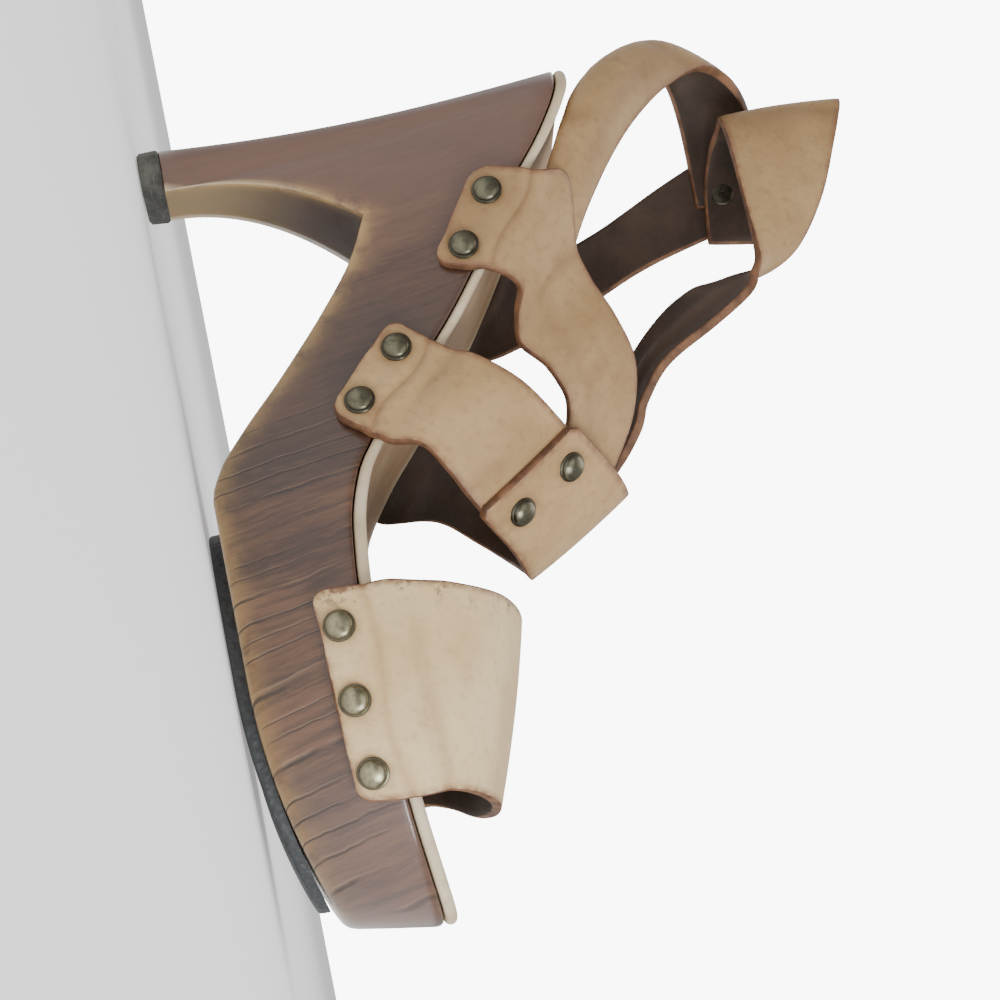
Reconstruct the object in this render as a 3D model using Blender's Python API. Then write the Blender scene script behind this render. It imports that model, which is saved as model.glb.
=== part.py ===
"""Strappy platform sandal with a wooden sole and a high heel, for the left foot.

The toe points to +X, the outer (lateral) side to +Y and up is +Z. Tables and sizes below are in
millimetres, measured from the back of the heel seat, and an empty puts the origin on the floor,
in the middle of the forefoot's flat spot.
"""
import bpy
import bmesh
import math
import numpy as np

MM = 0.001

# Driving dimensions
LENGTH = 222.0            # back of the heel seat to the tip of the toe
GAP = 0.3                 # clearance between pieces that meet
PAD_THICKNESS = 3.0       # rubber under the forefoot
TIP_HEIGHT = 5.7          # rubber under the heel
INSOLE_THICKNESS = 3.2
STRAP_THICKNESS = 2.6     # leather and its lining
STRAP_SEAT = 0.6 + 0.5 * STRAP_THICKNESS  # middle of a strap above the wall that it lies on
TOE_SPRING = 11.0         # rise of the underside at the toe
SPRING_START = 158.0      # where the underside leaves the floor
FLOOR_POINT = (136.0, 9.0)  # middle of the forefoot's flat spot
RIVET_RADIUS = 4.0
RIVET_HEIGHT = 2.1

# Heel
HEEL_TOP = 40.0           # length of top edge that the heel carries
HEEL_RIBS = 14
TIP_RIBS = 7              # ribs of the heel that end on the rubber tip
TIP_BACK = 2.0            # back of the tip
TIP_FRONT = 17.0          # flat front of the tip
TIP_HALF_WIDTH = 10.5
TIP_ROUND = 8.0           # depth of the tip's round back
BREAST_TOP = (38.0, 22.0, 56.0)  # corner where heel breast and waist meet: x, half width, z
BACK_HOLLOW = 3.4         # how far the back of the heel curves in
HEEL_TAPER = 1.7          # how late the heel's sides flare out

FRONT_RIBS = 27
UNDER_TIP = 217.0         # tip of the underside crease
SIDE_STEPS = 7
ACROSS_STEPS = 4

# Top edge of the sole seen from above
TOP_COLUMNS = ("x", "medial", "lateral")
TOP_ROWS = (
    (0.0, 0.0, 0.0),
    (4.0, -15.5, 15.5),
    (15.0, -25.5, 25.5),
    (35.0, -28.5, 28.5),
    (55.0, -28.3, 30.5),
    (75.0, -27.5, 35.0),
    (95.0, -29.5, 43.0),
    (115.0, -35.0, 51.8),
    (135.0, -39.5, 57.3),
    (155.0, -41.0, 58.3),
    (175.0, -39.3, 53.8),
    (195.0, -33.0, 42.5),
    (210.0, -22.5, 29.0),
    (218.0, -12.5, 17.0),
    (222.0, 1.5, 1.5),
)

# Crease along the underside, from the heel breast to the toe
UNDER_COLUMNS = ("x", "medial", "lateral")
UNDER_ROWS = (
    (38.0, -22.0, 22.0),
    (55.0, -22.5, 24.8),
    (75.0, -22.3, 30.0),
    (95.0, -24.5, 38.5),
    (115.0, -30.0, 47.8),
    (135.0, -34.5, 53.1),
    (155.0, -36.0, 54.3),
    (175.0, -34.3, 49.8),
    (195.0, -28.0, 38.5),
    (208.0, -17.8, 25.0),
    (214.5, -8.5, 13.2),
    (217.0, 1.5, 1.5),
)

# Heights along the shoe: the foot's side of the insole, and the underside of the wood
FOOTBED_COLUMNS = ("x", "z")
FOOTBED_ROWS = (
    (0.0, 120.0),
    (12.0, 116.8),
    (25.0, 109.5),
    (40.0, 98.0),
    (55.0, 88.0),
    (70.0, 76.8),
    (85.0, 63.5),
    (98.0, 51.5),
    (110.0, 43.4),
    (125.0, 39.0),
    (145.0, 37.2),
    (170.0, 37.4),
    (195.0, 39.2),
    (212.0, 41.6),
    (222.0, 43.5),
)
WAIST_COLUMNS = ("x", "z")
WAIST_ROWS = (
    (38.0, 56.0),
    (50.0, 50.0),
    (63.0, 40.0),
    (78.0, 26.5),
    (92.0, 13.2),
    (101.0, 6.2),
    (109.0, 3.3),
    (220.0, 3.3),
)

# Roundness of the wood's lower and upper edges
EDGE_COLUMNS = ("x", "lower radius", "upper radius")
EDGE_ROWS = (
    (0.0, 0.8, 0.7),
    (38.0, 0.9, 0.7),
    (70.0, 1.8, 0.7),
    (150.0, 2.6, 0.8),
    (195.0, 3.3, 1.2),
    (222.0, 4.0, 2.2),
)

# Rubber pad seen from above
PAD_COLUMNS = ("x", "medial", "lateral")
PAD_ROWS = (
    (108.5, 21.0, 21.0),
    (110.2, 3.0, 35.5),
    (114.5, -8.5, 42.5),
    (122.0, -17.5, 47.2),
    (135.0, -26.0, 49.4),
    (150.0, -30.0, 48.8),
    (165.0, -30.7, 45.6),
    (180.0, -28.0, 39.2),
    (195.0, -21.5, 30.0),
    (205.5, -13.2, 19.2),
    (210.8, -5.4, 9.6),
    (212.4, 1.5, 1.5),
)
PAD_RIBS = 26

# Free folds of each strap, as its two edges. Heights are above the floor.
FOLD_COLUMNS = ("rear x", "rear y", "rear z", "front x", "front y", "front z")
TOE_ANCHORS = {"medial": (141.0, 192.0), "lateral": (131.0, 185.0)}
TOE_FOLDS = (
    (142.0, -41.8, 47.0, 193.0, -35.0, 46.5),
    (144.0, -39.4, 56.5, 194.5, -31.2, 52.0),
    (147.0, -27.0, 68.5, 196.0, -19.0, 56.5),
    (148.5, 6.0, 75.5, 196.5, 5.5, 59.0),
    (145.0, 39.5, 69.0, 194.5, 30.0, 56.5),
    (138.0, 55.2, 57.0, 190.0, 43.0, 52.0),
    (134.0, 58.9, 47.0, 187.0, 48.4, 46.5),
)
INSTEP_ANCHORS = {"medial": (79.0, 102.0), "lateral": (79.0, 102.0)}
INSTEP_MEDIAL_FOLDS = (
    (86.0, -31.5, 76.0, 107.5, -35.0, 57.0),
    (94.5, -30.0, 86.0, 115.0, -33.5, 62.0),
    (106.0, -23.5, 95.0, 124.0, -26.0, 68.0),
    (115.0, -10.0, 104.5, 131.5, -11.5, 76.0),
    (118.0, 3.0, 109.0, 134.5, 2.5, 80.0),
)
INSTEP_LATERAL_FOLDS = (
    (85.0, 41.5, 83.0, 107.0, 49.0, 64.0),
    (94.0, 40.0, 96.5, 116.0, 46.5, 74.0),
    (105.0, 31.5, 107.0, 126.0, 35.0, 80.5),
    (115.5, 17.0, 112.5, 134.0, 18.0, 82.5),
    (119.0, 2.5, 111.5, 137.0, 2.1, 79.9),
    (115.7, -11.2, 106.8, 133.8, -12.7, 75.9),
    (106.2, -25.2, 97.0, 125.8, -28.0, 67.5),
)
TAB_ANCHORS = {"medial": (36.8, 61.8), "lateral": (40.0, 65.0)}
ANKLE_MEDIAL_FOLDS = (
    (38.5, -24.5, 110.5, 67.5, -27.0, 91.0),
    (56.5, -20.0, 109.5, 75.0, -24.5, 89.0),
    (66.0, -18.0, 111.5, 82.0, -22.5, 88.5),
    (76.5, -15.5, 116.0, 89.0, -20.5, 94.5),
    (88.5, -12.5, 119.0, 98.5, -17.5, 98.0),
    (101.5, -9.0, 116.0, 110.5, -13.5, 94.0),
    (113.5, -3.0, 108.5, 126.1, -5.8, 85.0),
)
HEEL_FOLDS = (
    (58.0, -18.9, 108.0, 66.0, -22.4, 94.0),
    (46.0, -18.2, 115.0, 49.0, -24.2, 99.5),
    (32.0, -16.0, 125.0, 29.5, -22.4, 109.5),
    (20.5, -12.5, 135.0, 15.0, -19.4, 118.3),
    (10.0, -6.5, 148.0, 3.5, -12.0, 129.0),
    (3.0, 1.5, 161.5, -3.5, -1.0, 142.5),
    (5.5, 12.0, 172.5, -0.5, 11.5, 152.0),
    (15.0, 22.0, 178.0, 10.0, 22.8, 156.5),
    (36.0, 26.4, 178.0, 34.0, 27.4, 156.5),
)
TAB_LATERAL_FOLDS = (
    (41.0, 31.5, 108.0, 66.0, 34.0, 91.0),
    (35.0, 30.4, 126.0, 60.0, 32.2, 110.5),
    (25.5, 28.8, 147.0, 50.0, 30.0, 134.5),
    (19.0, 27.4, 163.0, 44.5, 29.2, 154.0),
    (16.0, 26.2, 173.5, 42.0, 28.4, 166.5),
)
TWIST_FOLDS = (
    (46.0, 25.8, 157.0, 50.0, 25.2, 181.0),
    (30.0, 24.4, 159.5, 33.0, 23.6, 186.0),
    (20.5, 20.6, 162.5, 22.5, 19.8, 194.5),
    (15.5, 14.2, 165.0, 17.0, 13.4, 200.0),
    (17.5, 8.0, 164.5, 18.5, 7.5, 200.0),
    (29.0, 4.0, 164.0, 31.0, 4.5, 194.0),
    (45.0, 2.0, 163.5, 46.0, 5.0, 186.5),
    (57.0, 0.5, 163.0, 58.0, 6.5, 177.0),
    (64.5, -0.5, 161.5, 63.0, 8.0, 167.0),
    (71.5, -1.0, 157.5, 63.5, 10.5, 155.0),
    (79.0, -0.5, 146.0, 66.5, 13.0, 140.5),
    (87.0, 0.0, 130.5, 79.0, 17.0, 125.0),
    (95.5, 3.0, 123.0, 94.0, 20.0, 114.5),
    (103.0, 6.0, 119.5, 109.0, 20.0, 107.0),
    (117.0, 10.5, 107.5, 130.6, 12.9, 84.9),
)
ANCHOR_DROPS = (15.5, 9.0, 2.5, -1.0, -7.0)  # rows of an anchored end, below the wood's top edge
TOE_DROPS = (10.5, 6.0, 1.5, -1.5, -7.0)
REAR_DROPS = (11.5, 6.0, 0.5, -6.0)
TAB_LEAN = -0.5                   # how far back a tab leans for each millimetre down
REAR_LEAN = -0.23
HEEL_CENTRE = (30.0, 3.0, 0.0)    # middle of the heel loop seen from above
HEEL_CUP = 5.0                    # how far the heel loop cups out at its middle
STRAP_STEPS = 3
STRAP_ACROSS = 4
TOE_ACROSS = 8
RIM_INSET = 0.5                   # how far a strap's faces stop short of its rim
CORNER_PLACES = [0.12, 0.4]       # extra sections that round a strap's end
CORNER_FULLNESS = 0.85
TAB_CORNER = 5.0
TOE_CORNER = 3.0

# Rivets on the wall: their places between a strap's two edges, and how far down they lie
WALL_RIVET_COLUMNS = ("name", "anchors", "drop", "lean", "places")
WALL_RIVETS = (
    ("toe", TOE_ANCHORS, 6.0, 0.0, (0.19, 0.54, 0.87)),
    ("instep", INSTEP_ANCHORS, 8.0, TAB_LEAN, (0.22, 0.78)),
    ("rear", TAB_ANCHORS, 4.6, REAR_LEAN, (0.25, 0.8)),
)

# Rivets where straps join: the strap, the row they lie on, the side they face and their places
STRAP_RIVET_COLUMNS = ("name", "strap", "row", "face", "places")
STRAP_RIVETS = (
    ("joint", "instep_lateral", 10.55, 1.0, (0.25, 0.75)),
    ("heel_lateral", "tab_lateral", 7.55, 1.0, (0.18, 0.6)),
)

# Colours and surfaces
LOOKS = {
    "wood": ((0.105, 0.055, 0.036), 0.32, 0.0),
    "rubber": ((0.022, 0.026, 0.030), 0.62, 0.0),
    "leather": ((0.48, 0.34, 0.20), 0.60, 0.0),
    "insole": ((0.72, 0.62, 0.44), 0.55, 0.0),
    "brass": ((0.20, 0.19, 0.13), 0.35, 1.0),
}


# Curves through table rows

def column(rows, index):
    return np.array([row[index] for row in rows])


def smooth(places, values, at):
    """A smooth curve through the rows that never overshoots them."""
    steps = np.diff(places)
    slopes = np.diff(values) / steps
    tangents = np.zeros(len(values))
    tangents[0], tangents[-1] = slopes[0], slopes[-1]
    for i in range(1, len(values) - 1):
        before, after = slopes[i - 1], slopes[i]
        if before * after > 0.0:
            tangents[i] = 2.0 * before * after / (before + after)
    at = min(max(at, places[0]), places[-1])
    i = min(int(np.searchsorted(places, at, side="right")) - 1, len(steps) - 1)
    i = max(i, 0)
    t = (at - places[i]) / steps[i]
    low = values[i] * (1 + 2 * t) + tangents[i] * steps[i] * t
    high = values[i + 1] * (3 - 2 * t) + tangents[i + 1] * steps[i] * (t - 1)
    return low * (1 - t) ** 2 + high * t ** 2


def round_ends(rows, x):
    """Turn a place along an outline into an angle, so that both ends come out round."""
    first, last = rows[0][0], rows[-1][0]
    share = min(max((x - first) / (last - first), 0.0), 1.0)
    return math.acos(1.0 - 2.0 * share)


def outline_y(rows, x, side):
    angles = np.array([round_ends(rows, row[0]) for row in rows])
    values = column(rows, 1 if side == "medial" else 2)
    return smooth(angles, values, round_ends(rows, x))


def footbed_z(x):
    return smooth(column(FOOTBED_ROWS, 0), column(FOOTBED_ROWS, 1), x)


def wood_top_z(x):
    return footbed_z(x) - INSOLE_THICKNESS - GAP


def spring_z(x):
    """Rise of the forefoot's underside towards the toe."""
    share = max(x - SPRING_START, 0.0) / (UNDER_TIP - SPRING_START)
    return TOE_SPRING * share ** 2


def under_y(x, side):
    """Underside crease: open at the heel breast, round at the toe."""
    angles = np.array([math.asin(min(row[0] / UNDER_TIP, 1.0)) for row in UNDER_ROWS])
    values = column(UNDER_ROWS, 1 if side == "medial" else 2)
    return smooth(angles, values, math.asin(min(x / UNDER_TIP, 1.0)))


def under_z(x):
    return smooth(column(WAIST_ROWS, 0), column(WAIST_ROWS, 1), x) + spring_z(x)


def edge_radius(x, index):
    return smooth(column(EDGE_ROWS, 0), column(EDGE_ROWS, index), x)


# The wooden sole's side wall

def heel_foot(rib, side):
    """Lower end of a heel rib: round the tip first, then up the side of the breast."""
    sign = -1.0 if side == "medial" else 1.0
    tip_z = TIP_HEIGHT + GAP
    if rib < TIP_RIBS - 1:
        turn = 0.5 * math.pi * rib / (TIP_RIBS - 1)
        x = TIP_BACK + TIP_ROUND * (1.0 - math.cos(turn))
        return np.array([x, sign * TIP_HALF_WIDTH * math.sin(turn), tip_z])
    if rib < TIP_RIBS:
        share = rib - (TIP_RIBS - 1)
        straight = TIP_FRONT - TIP_BACK - TIP_ROUND
        x = TIP_BACK + TIP_ROUND + straight * share
        return np.array([x, sign * TIP_HALF_WIDTH, tip_z])
    rise = (rib - TIP_RIBS) / (HEEL_RIBS - TIP_RIBS)
    x = TIP_FRONT + (BREAST_TOP[0] - TIP_FRONT) * rise ** 2.2
    y = TIP_HALF_WIDTH + (BREAST_TOP[1] - TIP_HALF_WIDTH) * rise ** 1.5
    z = tip_z + (BREAST_TOP[2] - tip_z) * rise
    return np.array([x, sign * y, z])


def wall_ends(x, side):
    """Upper and lower end of the wall at a place along the top edge, and its taper and hollow."""
    top = np.array([x, outline_y(TOP_ROWS, x, side), wood_top_z(x)])
    if x <= HEEL_TOP:
        rib = HEEL_RIBS * math.acos(1.0 - x / HEEL_TOP) / (0.5 * math.pi)
        forward = min(rib / HEEL_RIBS, 1.0)
        taper = HEEL_TAPER + (1.15 - HEEL_TAPER) * forward ** 2
        hollow = BACK_HOLLOW * max(1.0 - rib / TIP_RIBS, 0.0)
        return top, heel_foot(rib, side), taper, hollow
    share = (x - HEEL_TOP) / (LENGTH - HEEL_TOP)
    under_x = BREAST_TOP[0] + (UNDER_TIP - BREAST_TOP[0]) * share
    foot = np.array([under_x, under_y(under_x, side), under_z(under_x)])
    taper = 1.15 - 0.25 * min(share * 3.0, 1.0)
    return top, foot, taper, 0.0


def wall_point(x, side, down):
    """Point on the wall, from 0 at the top edge to 1 at the lower edge."""
    top, foot, taper, hollow = wall_ends(x, side)
    left = max(1.0 - down, 0.0) ** taper
    point = foot + (top - foot) * left
    point[2] = top[2] + (foot[2] - top[2]) * down
    point[0] += hollow * math.sin(math.pi * down)
    return point


def wall_frame(x, side, drop):
    """Point and outward normal of the wall, a number of millimetres below the top edge.

    Above the edge, where the drop is negative, the wall goes on straight up.
    """
    top, foot, taper, hollow = wall_ends(x, side)
    height = float(np.linalg.norm(top - foot))
    down = max(drop, 0.0) / height
    step = 0.02
    point = wall_point(x, side, down)
    along = wall_point(x + 0.5, side, down) - wall_point(x - 0.5, side, down)
    fall = wall_point(x, side, down + step) - wall_point(x, side, max(down - step, 0.0))
    normal = np.cross(along, fall)
    normal /= np.linalg.norm(normal)
    if normal[1] * (-1.0 if side == "medial" else 1.0) < 0.0:
        normal = -normal
    if drop < 0.0:
        point[2] -= drop
        normal[2] = 0.0
        normal /= np.linalg.norm(normal)
    return point, normal


# Making meshes and objects

def material(name):
    colour, roughness, metallic = LOOKS[name]
    made = bpy.data.materials.get(name) or bpy.data.materials.new(name)
    made.use_nodes = True
    shader = made.node_tree.nodes["Principled BSDF"]
    shader.inputs["Base Color"].default_value = (*colour, 1.0)
    shader.inputs["Roughness"].default_value = roughness
    shader.inputs["Metallic"].default_value = metallic
    return made


def make_object(name, points, faces, look, collection):
    """A closed mesh from points in millimetres."""
    work = bmesh.new()
    made = [work.verts.new((p[0] * MM, p[1] * MM, p[2] * MM)) for p in points]
    for face in faces:
        if len(set(face)) > 2:
            work.faces.new([made[i] for i in face])
    bmesh.ops.remove_doubles(work, verts=work.verts, dist=0.00002)
    bmesh.ops.dissolve_degenerate(work, edges=work.edges, dist=0.00001)
    bmesh.ops.recalc_face_normals(work, faces=work.faces)
    mesh = bpy.data.meshes.new(name)
    work.to_mesh(mesh)
    work.free()
    mesh.shade_smooth()
    mesh.set_sharp_from_angle(angle=math.radians(35.0))
    mesh.materials.append(material(look))
    thing = bpy.data.objects.new(name, mesh)
    collection.objects.link(thing)
    thing.parent = bpy.data.objects["floor_point"]
    return thing


def loft(loops, capped):
    """Faces between closed loops of one length, with flat caps where asked."""
    count = len(loops[0])
    points = [point for loop in loops for point in loop]
    faces = []
    for i in range(len(loops) - 1):
        for j in range(count):
            k = (j + 1) % count
            faces.append((i * count + j, i * count + k, (i + 1) * count + k, (i + 1) * count + j))
    if capped:
        faces.append(tuple(range(count)))
        last = (len(loops) - 1) * count
        faces.append(tuple(range(last, last + count)))
    return points, faces


def bend(start, corner, end, steps):
    """Points of a round corner, its two ends left out."""
    shares = [i / steps for i in range(1, steps)]
    return [start * (1 - t) ** 2 + corner * 2 * t * (1 - t) + end * t ** 2 for t in shares]


def across(start, end, steps):
    return [start + (end - start) * i / steps for i in range(steps + 1)]


# Wooden sole

def rib_stations():
    heel = [HEEL_TOP * (1.0 - math.cos(0.5 * math.pi * i / HEEL_RIBS)) for i in range(HEEL_RIBS + 1)]
    reach = LENGTH - HEEL_TOP
    front = [HEEL_TOP + reach * math.sin(0.5 * math.pi * i / FRONT_RIBS)
             for i in range(1, FRONT_RIBS + 1)]
    return heel + front


def inward_normals(points, side):
    """Plan directions that point into an outline, along one of its sides from back to front."""
    turn = 1.0 if side == "medial" else -1.0
    normals = [np.array([1.0, 0.0, 0.0])]
    for before, after in zip(points, points[2:]):
        along = after - before
        normal = np.array([-along[1], along[0], 0.0]) * turn
        normals.append(normal / np.linalg.norm(normal))
    normals.append(np.array([-1.0, 0.0, 0.0]))
    return normals


def side_chain(x, side, inward_top, inward_foot):
    """Section of the wall from the top face, round both edges, to the lower face."""
    top = wall_point(x, side, 0.0)
    foot = wall_point(x, side, 1.0)
    height = max(float(np.linalg.norm(top - foot)), 1.0)
    upper = edge_radius(x, 2)
    lower = edge_radius(x, 1)
    begin, end = upper / height, 1.0 - lower / height
    wall = [wall_point(x, side, begin + (end - begin) * i / SIDE_STEPS) for i in range(SIDE_STEPS + 1)]
    top_in = top + inward_top * upper
    foot_in = foot + inward_foot * lower
    return [top_in] + bend(top_in, top, wall[0], 2) + wall + bend(wall[-1], foot, foot_in, 3) + [foot_in]


def sole_block(collection):
    stations = rib_stations()
    chains = {}
    for side in ("medial", "lateral"):
        tops = [wall_point(x, side, 0.0) for x in stations]
        feet = [wall_point(x, side, 1.0) for x in stations]
        inward_tops = inward_normals(tops, side)
        inward_feet = inward_normals(feet, side)
        for i in range(TIP_RIBS, HEEL_RIBS + 1):
            inward_feet[i] = np.array([0.0, 1.0 if side == "medial" else -1.0, 0.0])
        chains[side] = [side_chain(*parts) for parts in
                        zip(stations, [side] * len(stations), inward_tops, inward_feet)]
    loops = []
    for medial, lateral in zip(chains["medial"], chains["lateral"]):
        top = across(medial[0], lateral[0], ACROSS_STEPS)[1:-1]
        under = across(lateral[-1], medial[-1], ACROSS_STEPS)[1:-1]
        loops.append(top + lateral + under + medial[::-1])
    return make_object("sole_block", *loft(loops, capped=False), "wood", collection)


# Insole

def insole(collection):
    stations = rib_stations()
    inset = 0.15
    bulge = 0.5 * INSOLE_THICKNESS
    chains = {}
    for side in ("medial", "lateral"):
        edge = [np.array([x, outline_y(TOP_ROWS, x, side), footbed_z(x)]) for x in stations]
        inward = inward_normals(edge, side)
        chains[side] = []
        for point, normal in zip(edge, inward):
            rim = []
            for turn in (0.0, 45.0, 90.0, 135.0, 180.0):
                angle = math.radians(turn)
                offset = inset + bulge * (1.0 - math.sin(angle))
                drop = bulge * (1.0 - math.cos(angle))
                rim.append(point + normal * offset + np.array([0.0, 0.0, -drop]))
            chains[side].append(rim)
    loops = []
    for medial, lateral in zip(chains["medial"], chains["lateral"]):
        top = across(medial[0], lateral[0], ACROSS_STEPS)[1:-1]
        under = across(lateral[-1], medial[-1], ACROSS_STEPS)[1:-1]
        loops.append(top + lateral + under + medial[::-1])
    return make_object("insole", *loft(loops, capped=False), "insole", collection)


# Rubber under the forefoot and the heel

def forefoot_pad(collection):
    first, last = PAD_ROWS[0][0], PAD_ROWS[-1][0]
    middle, reach = 0.5 * (first + last), 0.5 * (last - first)
    stations = [middle - reach * math.cos(math.pi * i / PAD_RIBS) for i in range(PAD_RIBS + 1)]
    chamfer = 0.8
    chains = {}
    for side in ("medial", "lateral"):
        edge = [np.array([x, outline_y(PAD_ROWS, x, side), spring_z(x)]) for x in stations]
        inward = inward_normals(edge, side)
        lift = np.array([0.0, 0.0, 1.0])
        chains[side] = [
            (p + lift * PAD_THICKNESS, p + lift * chamfer, p + n * chamfer) for p, n in zip(edge, inward)
        ]
    loops = []
    for medial, lateral in zip(chains["medial"], chains["lateral"]):
        top = across(medial[0], lateral[0], 2)[1:-1]
        under = across(lateral[-1], medial[-1], 2)[1:-1]
        loops.append(top + list(lateral) + under + list(medial[::-1]))
    return make_object("forefoot_pad", *loft(loops, capped=False), "rubber", collection)


def heel_tip(collection):
    """D-shaped lift, a little proud of the heel, with worn lower edges."""
    levels = ((0.0, -1.0), (0.9, 0.2), (TIP_HEIGHT - 0.6, 0.4), (TIP_HEIGHT, 0.0))
    steps = 14
    loops = []
    for z, grow in levels:
        half = TIP_HALF_WIDTH + grow
        centre = TIP_BACK + TIP_ROUND
        loop = [(TIP_FRONT + grow, -half, z)]
        for i in range(steps + 1):
            turn = math.pi * (i / steps - 0.5)
            loop.append((centre - (TIP_ROUND + grow) * math.cos(turn), half * math.sin(turn), z))
        loop.append((TIP_FRONT + grow, half, z))
        loops.append(loop)
    return make_object("heel_tip", *loft(loops, capped=True), "rubber", collection)


# Straps

def edge_row(edges, count):
    """Points across a free fold, from its rear edge to its front edge."""
    return across(np.array(edges[:3]), np.array(edges[3:]), count)


def wall_row(side, anchors, drop, lean, count):
    """Points across an anchored end, lying on the wooden wall."""
    row = []
    for x in np.linspace(anchors[0], anchors[1], count + 1):
        point, normal = wall_frame(x + lean * drop, side, drop)
        row.append(point + normal * STRAP_SEAT)
    return row


def anchored(side, anchors, drops, lean, count=STRAP_ACROSS):
    return [wall_row(side, anchors, drop, lean, count) for drop in drops]


def folded(folds, count=STRAP_ACROSS):
    return [edge_row(fold, count) for fold in folds]


def cupped(rows):
    """Rows of the heel loop, with their middle pushed out from the loop's centre."""
    for i, row in enumerate(rows):
        for j, point in enumerate(row):
            share = j / (len(row) - 1)
            out = point - np.array(HEEL_CENTRE)
            out[2] = 0.0
            out /= np.linalg.norm(out)
            push = HEEL_CUP * math.sin(math.pi * i / (len(rows) - 1)) ** 2
            row[j] = point + out * push * 4.0 * share * (1.0 - share)
    return rows


def strand(rows, index, at):
    """A point of one line along a strap, on a smooth curve through its rows."""
    i = min(int(at), len(rows) - 2)
    t = at - i
    p1, p2 = rows[i][index], rows[i + 1][index]
    p0 = rows[i - 1][index] if i > 0 else 2 * p1 - p2
    p3 = rows[i + 2][index] if i + 2 < len(rows) else 2 * p2 - p1
    curve = 2 * p1 + (p2 - p0) * t + (2 * p0 - 5 * p1 + 4 * p2 - p3) * t ** 2
    return 0.5 * (curve + (3 * p1 - p0 - 3 * p2 + p3) * t ** 3)


def round_off(grid, corner):
    """Narrow the first rows of a strap into two round corners."""
    width = float(np.linalg.norm(grid[0][-1] - grid[0][0]))
    start = grid[0][0]
    for row in grid:
        travelled = float(np.linalg.norm(row[0] - start))
        if travelled >= corner:
            break
        inset = corner - math.sqrt(corner ** 2 - (corner - travelled) ** 2)
        pull = (row[-1] - row[0]) * CORNER_FULLNESS * inset / width
        for j in range(len(row)):
            row[j] = row[j] + pull * (1.0 - 2.0 * j / (len(row) - 1))


def ribbon(rows, corners):
    """Sections of a strap of even thickness through rows of points, with rounded rims."""
    places = list(np.linspace(0.0, len(rows) - 1, (len(rows) - 1) * STRAP_STEPS + 1))
    if corners[0]:
        places[1:2] = CORNER_PLACES
    if corners[1]:
        places[-2:-1] = [len(rows) - 1 - place for place in reversed(CORNER_PLACES)]
    count = len(rows[0]) - 1
    grid = [[strand(rows, j, at) for j in range(count + 1)] for at in places]
    for corner, ends in zip(corners, (grid, grid[::-1])):
        if corner:
            round_off(ends, corner)
    half = 0.5 * STRAP_THICKNESS
    loops = []
    for i, row in enumerate(grid):
        ahead, behind = grid[min(i + 1, len(grid) - 1)], grid[max(i - 1, 0)]
        outer, inner = [], []
        for j, point in enumerate(row):
            run = ahead[j] - behind[j]
            side = row[min(j + 1, count)] - row[max(j - 1, 0)]
            normal = np.cross(run, side)
            normal /= np.linalg.norm(normal)
            outer.append(point + normal * half)
            inner.append(point - normal * half)
        side = row[-1] - row[0]
        side /= np.linalg.norm(side)
        for line in (outer, inner):
            line[0] = line[0] + side * RIM_INSET
            line[-1] = line[-1] - side * RIM_INSET
        loops.append(outer + [row[-1]] + inner[::-1] + [row[0]])
    return loops


def ribbon_mesh(rows, corners):
    """Points and faces of a strap, closed at both ends."""
    loops = ribbon(rows, corners)
    points, faces = loft(loops, capped=False)
    size = len(loops[0])
    count = len(rows[0]) - 1
    for base in (0, (len(loops) - 1) * size):
        for j in range(count):
            far = base + 2 * count + 2 - j
            faces.append((base + j, base + j + 1, far - 1, far))
        faces.append((base + count, base + count + 1, base + count + 2))
        faces.append((base, base + 2 * count + 2, base + 2 * count + 3))
    return points, faces


def toe_strap(collection):
    medial = anchored("medial", TOE_ANCHORS["medial"], TOE_DROPS, 0.0, TOE_ACROSS)
    lateral = anchored("lateral", TOE_ANCHORS["lateral"], TOE_DROPS, 0.0, TOE_ACROSS)
    rows = medial + folded(TOE_FOLDS, TOE_ACROSS) + lateral[::-1]
    points, faces = ribbon_mesh(rows, (TOE_CORNER, TOE_CORNER))
    return make_object("toe_strap", points, faces, "leather", collection)


def strap_table():
    """Rows of each joined strap, with the round corners of its two ends."""
    tabs = {}
    for side in ("medial", "lateral"):
        tabs["instep", side] = anchored(side, INSTEP_ANCHORS[side], ANCHOR_DROPS, TAB_LEAN)
        tabs["rear", side] = anchored(side, TAB_ANCHORS[side], REAR_DROPS, REAR_LEAN)
    return {
        "instep_medial": (tabs["instep", "medial"] + folded(INSTEP_MEDIAL_FOLDS), (TAB_CORNER, 0.0)),
        "instep_lateral": (tabs["instep", "lateral"] + folded(INSTEP_LATERAL_FOLDS), (TAB_CORNER, 2.0)),
        "ankle_medial": (tabs["rear", "medial"] + folded(ANKLE_MEDIAL_FOLDS), (TAB_CORNER, 0.0)),
        "heel_loop": (cupped(folded(HEEL_FOLDS)), (0.0, 0.0)),
        "tab_lateral": (tabs["rear", "lateral"] + folded(TAB_LATERAL_FOLDS), (TAB_CORNER, 0.0)),
        "ankle_lateral": (folded(TWIST_FOLDS), (0.0, 0.0)),
    }


def upper_straps(collection, cutters):
    """The joined straps over instep, ankle and heel."""
    whole = None
    for name, (rows, corners) in strap_table().items():
        points, faces = ribbon_mesh(rows, corners)
        if whole is None:
            whole = make_object("upper_straps", points, faces, "leather", collection)
            continue
        piece = make_object(name, points, faces, "leather", cutters)
        piece.hide_render = True
        piece.display_type = "WIRE"
        join = whole.modifiers.new("join_" + name, "BOOLEAN")
        join.operation = "UNION"
        join.solver = "EXACT"
        join.object = piece
    return whole


# Rivets

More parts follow.
